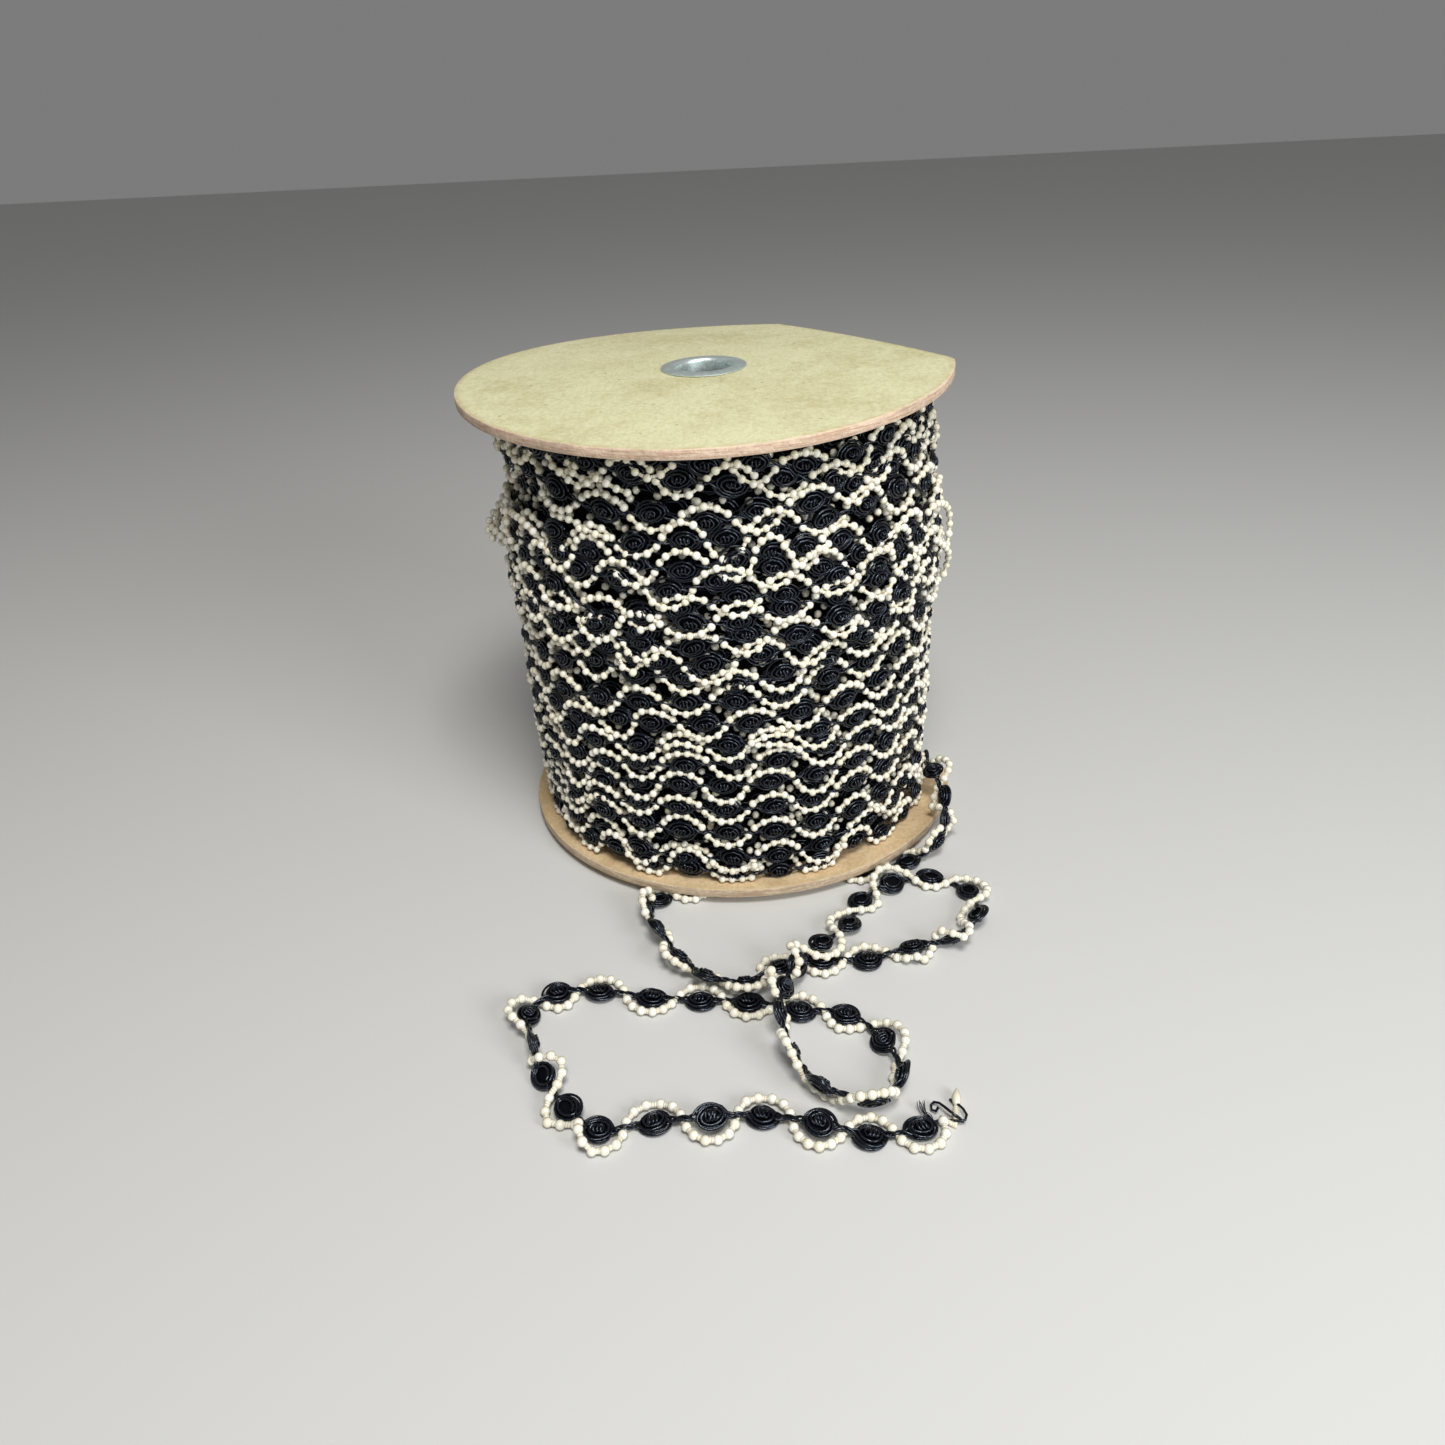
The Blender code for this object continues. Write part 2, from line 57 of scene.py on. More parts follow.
# The roses on the front of the reel, one row for each turn, from the lowest. Each mark is the angle in degrees, the
# height of the rose's middle in mm, and the height that its string of pearls reaches, above or below it. A fourth
# number sinks the string into the winding, in mm. A mark of two numbers only gives the turn's height; those at 90
# degrees are at the back of the reel.
TURN_MARKS = (
    ((-150, 6.0), (-125.5, 9.9, 15.4), (-115.3, 8.0, 3.5), (-104.3, 8.0, 15.3), (-92.6, 6.1, 3.1),
     (-80.8, 5.5, 11.0, 2.5), (-69.4, 5.8, 2.3), (-57.6, 9.1, 13.6), (-46.9, 5.8, 1.8), (-25, 7.0)),
    ((-150, 15.0), (-125, 14.5), (-105.4, 11.9, 15.7, 2.0), (-92.7, 12.4, 7.4), (-80.7, 12.1, 17.4),
     (-68.2, 12.8, 6.3), (-52.5, 14.9, 18.4), (-41.0, 15.6, 11.1), (-25, 14.0)),
    ((-140.2, 23.2, 17.7), (-127.9, 23.6, 29.1), (-115.7, 24.2, 19.2), (-104.8, 22.7, 28.7), (-93.0, 22.9, 18.2),
     (-81.4, 22.3, 26.8), (-69.7, 22.3, 17.3), (-57.8, 22.2, 27.4), (-47.4, 22.2, 16.9), (-35.3, 19.6, 25.1),
     (-25, 20.0)),
    ((-150, 27.0), (-125, 29.5), (-115.6, 31.8, 27.8), (-104.8, 32.4, 35.9), (-93.1, 31.6, 27.1),
     (-80.9, 31.9, 36.4), (-70.7, 31.5, 27.5), (-57.4, 32.6, 37.1), (-46.3, 33.0, 29.0), (-33.8, 32.9, 37.9),
     (-25, 31.0)),
    ((-136.6, 36.9, 29.9), (-126.8, 35.9, 41.9), (-115.1, 39.7, 33.7), (-103.4, 40.6, 44.9), (-92.8, 40.2, 34.4),
     (-81.0, 40.9, 44.9), (-69.2, 40.6, 34.3), (-57.2, 41.2, 45.0), (-44.7, 41.5, 36.5), (-33.0, 41.5, 46.5),
     (-25, 41.0)),
    ((-135.9, 43.5, 38.5), (-124.4, 43.8, 47.5), (-114.3, 46.8, 41.3), (-102.1, 47.6, 52.1), (-89.8, 49.0, 43.5),
     (-78.9, 48.3, 52.3), (-66.0, 49.2, 43.7), (-54.1, 48.5, 52.5), (-41.3, 49.7, 45.7), (-30.8, 50.1, 55.1),
     (-25, 49.0)),
    ((-137.3, 50.7, 45.7), (-127.3, 51.2, 55.2), (-113.6, 53.5, 48.5), (-102.3, 54.0, 59.0), (-90.6, 55.1, 50.1),
     (-80.3, 55.6, 58.9), (-67.7, 56.1, 50.1), (-56.2, 56.1, 59.6), (-44.1, 56.3, 52.3), (-33.4, 57.6, 62.6),
     (-25, 57.0)),
    ((-143.2, 57.6, 51.3), (-132.9, 56.9, 61.1), (-119.0, 60.7, 54.2), (-109.7, 61.2, 65.2), (-96.1, 62.1, 57.4),
     (-85.0, 62.1, 66.1), (-71.9, 63.7, 58.2), (-59.9, 63.9, 68.7), (-47.1, 65.7, 59.7), (-34.9, 64.1, 69.1),
     (-25, 63.0)),
    ((-148.9, 64.8, 59.3), (-137.4, 64.6, 70.6), (-124.3, 67.0, 61.7), (-112.5, 67.6, 72.6), (-100.3, 69.5, 65.7),
     (-88.0, 69.6, 74.8), (-76.1, 69.8, 66.6), (-64.3, 72.9, 78.2), (-52.3, 74.3, 69.8), (-39.7, 73.6, 78.6),
     (-25, 72.0)),
    ((-150, 74.0), (-136.0, 76.0, 81.5), (-124.0, 80.0, 73.7), (-112.9, 77.4, 82.9), (-99.3, 78.1, 73.1),
     (-87.9, 75.2, 80.0), (-76.0, 77.8, 72.0), (-64.7, 79.3, 84.5), (-53.3, 83.3, 77.8), (-40.0, 84.2, 89.5),
     (-25, 80.0)),
    ((-150, 84.0), (-136.4, 84.7, 92.0), (-126.9, 86.3, 81.0), (-119.4, 85.3, 89.0), (-105.8, 82.4, 86.6),
     (-93.6, 82.2, 76.7), (-81.0, 84.5, 88.5), (-69.7, 85.0, 79.5), (-57.9, 85.2, 89.0), (-25, 88.0)),
    ((-150, 90.0), (-125, 89.5), (-96.7, 88.0, 92.0), (-84.2, 91.4, 85.9), (-72.2, 89.6, 94.6), (-60.9, 92.6, 87.1),
     (-49.5, 90.8, 96.3), (-39.8, 92.1, 86.6), (-25, 92.0)),
    ((-150, 93.0), (-125, 93.0), (-109.4, 91.9, 97.9), (-96.9, 95.5, 92.0), (-85.3, 95.6, 101.1),
     (-74.3, 98.6, 94.6), (-61.2, 98.8, 102.8), (-49.3, 100.8, 94.8), (-37.3, 97.5, 103.0), (-25, 97.0)),
    ((-146.3, 98.1, 103.1), (-134.1, 101.3, 95.3), (-117.1, 94.5, 101.0), (-99.0, 99.6, 103.6),
     (-85.1, 103.1, 97.6), (-74.5, 102.6, 108.6), (-61.2, 105.3, 101.3), (-49.3, 104.1, 109.6),
     (-25, 102.0), (90, 109.5)),
    ((-150, 106.0), (-125.4, 108.3, 103.3), (-113.6, 107.5, 113.2), (-101.1, 105.1, 100.1), (-89.1, 108.5, 112.0),
     (-76.7, 111.0, 105.5), (-64.9, 108.7, 114.2), (-53.6, 109.4, 103.9), (-25, 105.0), (90, 117.5)),
    ((-150, 111.0), (-125, 113.0), (-97.3, 111.4, 117.1), (-85.2, 113.8, 108.3), (-59.9, 115.6, 120.1),
     (-46.8, 113.3, 108.3), (-25, 110.0), (90, 126.5)),
    ((-144.5, 115.2, 120.2), (-133.3, 117.6, 111.6), (-120.5, 116.8, 121.8), (-108.5, 118.1, 114.6),
     (-96.2, 119.7, 125.2), (-86.9, 119.8, 113.8), (-75.4, 121.2, 126.7), (-63.1, 121.9, 118.4),
     (-51.0, 123.2, 128.7), (-38.7, 124.2, 117.7), (-24, 121.0, 126.0), (90, 136.0)),
    ((-144.0, 134.0, 139.5), (-130.8, 130.5, 124.5), (-116.2, 126.5, 131.5), (-103.9, 126.7, 121.9),
     (-90.9, 124.5, 129.0), (-78.8, 126.7, 121.1), (-66.1, 127.5, 132.0), (-54.2, 130.5, 125.1),
     (-41.5, 130.9, 136.2), (-28.7, 132.9, 127.4)),
    ((-150, 141.0), (-119.5, 140.5, 135.3), (-107.8, 138.1, 142.8), (-96.5, 136.7, 132.1), (-84.5, 134.8, 140.6),
     (-72.2, 135.0, 130.0), (-60.0, 132.5, 137.0), (-47.1, 134.5, 129.0), (-25, 138.0)),
    ((-150, 142.3), (-125, 142.3), (-100, 142.0), (-76.3, 140.5), (-67.2, 137.7, 141.2), (-54.2, 138.5, 133.5),
     (-42.0, 141.0, 145.0), (-30.0, 141.0, 136.0), (-25, 142.0)),
)

# The loose end's roses: x, y and z of the centre in mm and the band's turn in degrees. The first five are nearer to
# their place in the photo than in the part's own source, by up to 6 mm. The others are the same.
LOOSE_ROSES = (
    (69.8, -8.5, 12.4, 78), (70.4, -23.0, 17.0, 25), (72.4, -34.3, 13.4, 66), (71.0, -42.9, 10.0, -84),
    (67.6, -50.7, 6.6, -100), (57.4, -54.4, 1.2, -180), (41.2, -58.0, 1.2, -180), (27.2, -59.4, 1.2, -180),
    (13.4, -60.2, 1.2, -180), (-0.7, -62.0, 1.2, -180), (-14.8, -64.9, 1.2, -180), (-24.9, -70.0, 1.2, -180),
    (-27.7, -77.2, 3.9, -80), (-24.0, -90.0, 6.3, -50), (-17.1, -100.3, 3.5, -38), (-8.8, -110.9, 5.1, -35),
    (2.7, -111.8, 2.8, -28), (12.6, -105.2, 2.6, -14), (25.5, -101.9, 1.4, -2), (39.1, -102.0, 1.2, 0),
    (53.0, -97.9, 2.1, -14), (65.4, -95.2, 3.1, 144), (74.1, -86.7, 4.6, 148), (74.4, -71.3, 1.5, 176),
    (63.6, -63.2, 1.3, 180), (50.5, -67.1, 2.7, 155), (40.0, -73.9, 1.3, 180), (34.9, -86.4, 2.3, 180),
    (25.6, -98.8, 5.7, 178), (18.0, -108.8, 6.6, 118), (13.5, -118.8, 7.5, -50), (11.6, -130.3, 8.7, -68),
    (14.5, -141.5, 5.0, -70), (20.9, -155.3, 7.1, -70), (34.3, -159.1, 4.9, -64), (42.7, -150.8, 5.0, -68),
    (39.7, -135.4, 2.1, -15), (30.4, -124.7, 1.4, 2), (17.7, -122.2, 1.2, 0), (3.3, -118.3, 1.2, 0),
    (-10.7, -117.0, 1.2, 0), (-24.6, -115.1, 1.2, 0), (-39.8, -112.4, 1.7, 4), (-51.9, -113.0, 2.5, -10),
    (-59.4, -121.6, 2.6, -25), (-55.9, -135.7, 5.6, -88), (-51.7, -144.8, 2.9, -148),
    (-44.2, -156.4, 2.7, -168), (-35.6, -163.5, 2.2, 8), (-21.7, -160.5, 1.2, 0), (-7.0, -161.9, 4.2, 25),
    (6.1, -159.8, 1.4, 2), (20.2, -164.4, 3.6, 20), (32.6, -166.9, 1.2, 0), (45.3, -165.7, 1.9, 5),
    (54.4, -157.4, 2.0, 5),
)

# The cords and threads of the cut end, lying on the floor past the last rose, and the last bead, in mm.
CUT_CORDS = (
    ((48.2, -164.4, 0.9), (50.0, -162.9, 1.2), (52.9, -163.0, 1.5), (55.3, -163.6, 1.8), (56.6, -163.6, 2.2),
     (57.2, -162.2, 2.4), (56.7, -160.1, 2.2), (56.0, -158.4, 1.7), (55.0, -156.9, 1.0), (54.3, -155.4, 0.5)),
    ((47.8, -163.6, 1.4), (50.4, -162.4, 0.9), (53.4, -162.5, 0.8), (56.2, -163.2, 1.0), (55.6, -162.9, 1.8),
     (53.2, -161.1, 2.6), (52.0, -159.3, 2.4), (51.1, -157.6, 1.8), (50.0, -156.7, 1.2), (49.1, -157.2, 0.7),
     (49.0, -158.9, 0.8), (49.9, -160.0, 1.6), (50.6, -159.4, 2.3)),
)
FRAY = ((48.8, -162.3, 1.0), (47.8, -160.6, 0.9), (47.0, -159.3, 0.9), (46.6, -158.0, 1.4), (46.3, -157.0, 2.2))
LAST_THREAD = ((54.0, -164.2, 0.8), (54.7, -161.0, 0.7), (55.4, -158.4, 0.9))
END_BEAD = ((55.4, -158.3, 1.25), (56.4, -152.6, 1.6))

# Loops of the string that lie across the turns: angle in degrees, height and distance out of the roses, in mm.
STRAY_STRINGS = (
    ((-126.5, 136.8, 1.9), (-123.8, 135.0, 1.9), (-121.2, 134.0, 1.9), (-118.5, 135.2, 1.9), (-116.5, 136.5, 1.9),
     (-114.5, 135.8, 1.9), (-112.2, 134.2, 1.9), (-108.5, 132.8, 1.9)),
    ((-132.8, 122.5, 1.0), (-127.8, 122.2, 1.2), (-123.0, 121.2, 1.2), (-118.5, 120.2, 1.2), (-115.2, 119.5, 1.0)),
    ((-73.5, 116.8, 1.2), (-72.2, 113.8, 1.9), (-71.2, 110.0, 1.9), (-69.0, 112.5, 1.9), (-66.5, 114.0, 1.9),
     (-63.5, 114.5, 1.2)),
    ((-106.0, 53.8, 1.9), (-103.5, 55.5, 1.9), (-100.8, 55.5, 1.9), (-97.8, 54.2, 1.9)),
    ((-97.5, 11.5, 1.9), (-95.5, 9.0, 1.9), (-93.2, 8.2, 1.9), (-90.2, 9.0, 1.9), (-87.0, 10.2, 1.9)),
    ((-85.0, 56.0, 1.9), (-81.8, 57.8, 1.9), (-78.2, 58.0, 1.9), (-75.8, 57.2, 1.9)),
    ((-84.0, 55.2, 1.9), (-80.8, 54.5, 1.9), (-77.2, 53.8, 1.9), (-73.5, 51.0, 1.9), (-72.2, 48.5, 1.9)),
    ((-171.5, 111.5, 4.8), (-170.0, 109.5, 6.2), (-169.0, 106.5, 6.8), (-168.0, 104.2, 5.8)),
    ((-170.0, 116.5, 2.2), (-170.5, 113.5, 3.6), (-169.0, 110.0, 4.4), (-168.5, 106.5, 4.2), (-167.5, 103.0, 2.6)),
    ((-176.0, 108.0, 2.6), (-172.0, 107.0, 4.2), (-168.5, 108.5, 4.6), (-164.5, 107.5, 3.4), (-161.0, 106.0, 2.2)),
    ((-158.2, 117.5, 2.4), (-152.0, 118.0, 2.8), (-146.0, 118.2, 2.6), (-140.0, 116.0, 1.9)),
    ((-157.2, 120.2, 2.4), (-153.8, 115.5, 3.2), (-155.0, 111.8, 3.2), (-153.8, 109.0, 2.4)),
    ((-27.0, 113.0, 1.9), (-23.8, 114.0, 2.6), (-19.5, 113.0, 3.6), (-16.0, 110.5, 4.4), (-14.2, 107.0, 4.8),
     (-14.0, 102.0, 4.6), (-15.0, 97.5, 3.8)),
    ((-22.2, 102.0, 2.0), (-18.0, 98.5, 3.2), (-15.0, 94.5, 4.2), (-13.5, 90.5, 4.0), (-14.0, 87.0, 3.2)),
)

# How far the middle of a rose lies from the reel's leaning axis at the left and right of the front: height, radius.
LEFT_SIDE = ((0, 67.5), (16, 68.3), (45, 68.5), (68, 67.7), (91, 68.6), (110, 67.0), (124, 63.9), (150, 64.5))
RIGHT_SIDE = ((0, 64.5), (15, 64.2), (36, 65.9), (67, 67.3), (95, 71.0), (115, 70.0), (142, 68.2), (150, 68.2))

# How far the front bulges beyond what the two sides give: height, bulge.
FRONT_BULGE = ((0, 4.5), (30, 3.6), (60, 2.0), (85, 0.3), (150, 0.0))


class Slot(Enum):
    """Material slots of the record."""

    BOARD_UPPER = "board_upper"
    BOARD_LOWER = "board_lower"
    EYELET_UPPER = "eyelet_upper"
    EYELET_LOWER = "eyelet_lower"
    WOUND = "wound_trim"
    LOOSE = "loose_trim"


@dataclass(frozen=True)
class ReelSizes:
    """Sizes of the reel in mm, as in the part's own source."""

    flange_radius: float = 76.0
    board_thick: float = 2.9
    hole_radius: float = 9.4
    flat_half_angle: float = math.radians(37.5)
    flat_direction: float = math.radians(32.5)
    height: float = 152.4
    tip: float = math.radians(1.3)
    crushed_edge: float = 0.2
    centre: tuple[float, float] = (3.39, 3.09)
    top_shift: tuple[float, float] = (-6.5, -9.7)
    top_tilt: tuple[float, float] = (math.radians(1.73), math.radians(-0.64))
    top_bow: float = 2.9
    eyelet_outer: float = 13.25
    eyelet_bore: float = 8.65
    core_bore: float = 12.0

    def seat(self) -> Matrix:
        """The matrix that stands the leaning reel on the floor, in mm."""
        lift = self.flange_radius * math.sin(self.tip) - self.crushed_edge
        return Matrix.Translation((*self.centre, lift)) @ Matrix.Rotation(-self.tip, 4, "X")

    def top_seat(self, lift: float) -> Matrix:
        """The matrix that lays a piece on the tilted top board.

        Args:
            lift: How far over the board's upper face it lies, in mm.

        Returns:
            The matrix, in mm.
        """
        level = self.seat() @ Matrix.Translation((*self.top_shift, self.height))
        turned = level @ (Matrix.Rotation(self.top_tilt[0], 4, "X") @ Matrix.Rotation(self.top_tilt[1], 4, "Y"))
        return turned @ Matrix.Translation((0.0, 0.0, lift))

    def seated(self, points: ndarray) -> ndarray:
        """Points of the upright reel, where they lie on the leaning one, in mm."""
        seat = np.array(self.seat())
        return points @ seat[:3, :3].T + seat[:3, 3]

    def axis(self, heights: ndarray) -> ndarray:
        """Where the winding's axis is at each height, as x and y in mm, on its way to the shifted top board."""
        return np.outer(heights / self.height, self.top_shift)

    def under_top_board(self, x: ndarray, y: ndarray) -> ndarray:
        """Heights of the top board's underside over points of the reel.

        Args:
            x: The points' first coordinates, in mm.
            y: The points' second coordinates, in mm.

        Returns:
            The heights in mm.
        """
        across_x, across_y = x - self.top_shift[0], y - self.top_shift[1]
        tilt = across_y * math.sin(self.top_tilt[0]) - across_x * math.sin(self.top_tilt[1])
        return self.height - self.board_thick - self.top_bow * (across_y / self.flange_radius) ** 2 + tilt


@dataclass(frozen=True)
class TrimSizes:
    """Sizes of the trim in mm."""

    pitch: float = 13.9
    rose_length: float = 4.5
    rose_height: float = 3.1
    petal_height: float = 3.8
    rose_dome: float = 1.0
    cord_radius: float = 0.38
    pearl_radius: float = 1.19
    pearl_pitch: float = 3.4
    crossing_gap: float = 4.1
    string_reach: float = 5.9
    arc_power: float = 0.8
    arc_bulge: tuple[float, float] = (0.0, 0.05)
    thread_hidden: float = 0.9
    pad: tuple[float, float, float] = (3.9, 2.7, 0.5)
    thread_radius: float = 0.62


def spread(rows: tuple, places: ndarray) -> ndarray:
    """Interpolate rows smoothly, through every row.

    Args:
        rows: One row of values for each whole place.
        places: Where the values are wanted.

    Returns:
        One row of values for each place.
    """
    table = np.asarray(rows, float)
    index = np.clip(np.floor(places).astype(int), 0, len(table) - 2)
    t = (places - index)[:, None] if table.ndim > 1 else places - index
    a, b, c, d = (table[np.clip(index + k, 0, len(table) - 1)] for k in (-1, 0, 1, 2))
    return 0.5 * (2 * b + (c - a) * t + (2 * a - 5 * b + 4 * c - d) * t * t + (3 * b - a - 3 * c + d) * t ** 3)


def ease(share: ndarray) -> ndarray:
    """Ease from 0 to 1."""
    share = np.clip(share, 0.0, 1.0)
    return share * share * (3.0 - 2.0 * share)


def unit(vectors: ndarray) -> ndarray:
    """Scale each row to length 1."""
    return vectors / np.maximum(np.linalg.norm(vectors, axis=1, keepdims=True), 1e-9)


@dataclass
class Strand:
    """What both runs of trim share: a centreline counted in roses, with a side and a face at each place."""

    sizes: TrimSizes = field(default_factory=TrimSizes)
    arcs: ndarray = field(default_factory=lambda: np.zeros(0))
    bulges: ndarray = field(default_factory=lambda: np.zeros(0))
    string_dip: float = 0.9

    def frames(self, places: ndarray) -> tuple[ndarray, ndarray, ndarray]:
        """The centre in mm, the unit vector across the band and the one out of its face, for each place."""
        raise NotImplementedError

    def settle(self, points: ndarray, radius: float) -> ndarray:
        """Keep points of a cord or pearl of this radius clear of what the trim lies on, and give them in mm."""
        raise NotImplementedError

    def lean(self) -> ndarray:
        """The turn that settling gives to directions."""
        return np.eye(3)

    def string_lift(self, places: ndarray) -> ndarray:
        """How far out of the band's middle the string of pearls lies at each place, in mm."""
        return -self.string_dip * (1.0 - self.wave(places))

    def nearest(self, places: ndarray) -> ndarray:
        """The rose nearest to each place."""
        return np.clip(np.round(places).astype(int), 0, len(self.arcs) - 1)

    def wave(self, places: ndarray) -> ndarray:
        """How far the string has gone to its side at each place, from 0 at a crossing to 1 beside a rose."""
        return np.maximum(np.cos(math.pi * (places - self.nearest(places))), 0.0) ** self.sizes.arc_power

    def string(self, places: ndarray) -> ndarray:
        """The line that the string of pearls follows.

        Args:
            places: Places counted in roses.

        Returns:
            One point for each place, in mm.
        """
        rose = self.nearest(places)
        bulge = self.bulges[rose] * np.sin(math.tau * (places - rose))
        centre, across, face = self.frames(places + bulge)
        reach = (self.arcs[rose] * self.wave(places))[:, None]
        return centre + across * reach + face * self.string_lift(places)[:, None]

    def lay(self, shape: ndarray, rose: int) -> ndarray:
        """Lay points given along, across and out of the band, in mm, flat on one rose."""
        centre, across, face = self.frames(np.array([float(rose)]))
        return centre + shape @ np.vstack((np.cross(across, face), across, face))

    def bend(self, shape: ndarray, rose: int) -> ndarray:
        """Lay points given along, across and out of the band, in mm, round one rose."""
        centre, across, face = self.frames(rose + shape[:, 0] / self.sizes.pitch)
        return centre + across * shape[:, 1:2] + face * shape[:, 2:3]


@dataclass
class WoundStrand(Strand):
    """The trim on the reel: a helix of turns, as they lie on the front, carried round the back.

    The marks are as in TURN_MARKS; those of the end count their angle from the last one of the front. A rose of an even
    layer strays in height, and one between marks in angle and height. The string lies proud of the roses' middle, and
    dips at a crossing.
    """

    reel: ReelSizes = field(default_factory=ReelSizes)
    start_marks: tuple = ((3.0, 9.5, 15.0), (90.0, 6.2))
    end_marks: tuple = ((60.0, 142.4), (170.0, 142.6, 137.6))
    rose_step: float = 11.9
    reach: tuple[float, float] = (4.9, 6.2)
    even_count: int = 580
    even_start: float = 5.5
    even_climb: float = 7.25
    even_stray: float = 0.8
    stray: tuple[float, float] = (0.8, 1.0)
    unevenness: float = 0.5
    steepest: float = 0.7
    proud: float = 1.0
    crossing_dip: float = 2.0
    out_limits: tuple[float, float] = (-0.4, 2.4)
    depth: float = 0.0
    seed: int = 11

    def __post_init__(self) -> None:
        """Place every rose along the winding."""
        rng = np.random.default_rng(self.seed)
        rows = self.even_rows(rng) if self.depth > 0.0 else self.marked_rows(rng)
        self.angles, self.heights, self.arcs, self.sunk = np.array(rows).T
        self.rise = rng.uniform(-self.unevenness, self.unevenness, len(rows))
        self.bulges = rng.uniform(*self.sizes.arc_bulge, len(rows))

    def even_rows(self, rng: Generator) -> list[tuple]:
        """Place the roses of an even layer.

        Args:
            rng: Source of the small differences between roses.

        Returns:
            The angle, height, arc and sunk depth of each rose.
        """
        return [(k * self.rose_step, self.even_start + self.even_climb * k * self.rose_step / 360.0
                 + rng.uniform(-self.even_stray, self.even_stray), (-1.0) ** k * rng.uniform(*self.reach), 0.0)
                for k in range(self.even_count)]

    def marked_rows(self, rng: Generator) -> list[tuple]:
        """Place the roses as they lie on the front, and carry the turns round the back.

        Args:
            rng: Source of the small differences between the roses of the back.

        Returns:
            The angle, height, arc and sunk depth of each rose.
        """
        marks = list(self.start_marks)
        for turn, row in enumerate(TURN_MARKS):
            marks += [(mark[0] + 360.0 * (turn + 1), *mark[1:]) for mark in row]
        marks += [(marks[-1][0] + after, *rest) for after, *rest in self.end_marks]
        known = np.array([mark[:2] for mark in marks]).T
        seen = [mark for mark in marks if len(mark) > 2]
        rows = []
        for mark, after in zip(seen, seen[1:]):
            side = math.copysign(1.0, mark[2] - mark[1])
            rows.append((mark[0], mark[1], mark[2] - mark[1], mark[3] if len(mark) > 3 else 0.0))
            gap = after[0] - mark[0]
            swaps = 0 if (after[2] - after[1]) * side < 0.0 else 1
            between = max(0, swaps + 2 * round((gap / self.rose_step - 1.0 - swaps) / 2.0))
            for k in range(between):
                angle = mark[0] + gap * (k + 1) / (between + 1)
                side = -side
                height = float(np.interp(angle, *known))
                place = (known_at + rng.uniform(-most, most) for known_at, most in zip((angle, height), self.stray))
                rows.append((*place, side * rng.uniform(*self.reach), 0.0))
        return rows

    def middle_radius(self, angle: ndarray, height: ndarray) -> ndarray:
        """How far the middle of the trim lies from the reel's axis.

        Args:
            angle: Angles round the axis, in radians.
            height: Heights on the upright reel, in mm.

        Returns:
            The distances in mm.
        """
        left, right, bulge = (np.interp(height, *zip(*rows)) for rows in (LEFT_SIDE, RIGHT_SIDE, FRONT_BULGE))
        share = 0.5 + 0.5 * np.cos(angle)
        return left + (right - left) * share + bulge * np.maximum(-np.sin(angle), 0.0)

    def frames(self, places: ndarray) -> tuple[ndarray, ndarray, ndarray]:
        """Where the band lies and how it is turned.

        Args:
            places: Places counted in roses.

        Returns:
            The centre in mm, the unit vector across the band and the one out of its face, for each place.
        """
        angle = np.radians(spread(self.angles, places))
        height = spread(self.heights, places)
        radius = self.middle_radius(angle, height) + spread(self.rise, places) - self.depth
        zero = 0.0 * angle
        face = np.c_[np.cos(angle), np.sin(angle), zero]
        centre = np.c_[self.reel.axis(height), height] + face * radius[:, None]
        climb, run = (spread(rows, places + 0.4) - spread(rows, places - 0.4) for rows in (self.heights, self.angles))
        slope = np.clip(climb / np.maximum(np.radians(run) * radius, 1.0), -self.steepest, self.steepest)[:, None]
        across = unit(np.c_[zero, zero, zero + 1.0] + slope * np.c_[face[:, 1], -face[:, 0], zero])
        return centre, across, face

    def lean(self) -> ndarray:
        """The turn that settling gives to directions."""
        return np.array(self.reel.seat())[:3, :3]

    def string_lift(self, places: ndarray) -> ndarray:
        """How far out of the band's middle the string of pearls lies at each place, in mm."""
        dip = self.crossing_dip * (1.0 - self.wave(places)) ** 3
        return self.proud - self.sunk[self.nearest(places)] - dip

    def across_turns(self, rows: tuple, steps: int = 60) -> ndarray:
        """Lay a string across the turns.

        Args:
            rows: Angle in degrees, height and distance out of the roses in mm, along the string.
            steps: How many points the line has.

        Returns:
            The line on the upright reel, in mm.
        """
        angle, height, out = spread(rows, np.linspace(0.0, len(rows) - 1.0, steps)).T
        turn = np.radians(angle)
        radius = self.middle_radius(turn, height) + out
        return np.c_[self.reel.axis(height) + np.c_[np.cos(turn), np.sin(turn)] * radius[:, None], height]

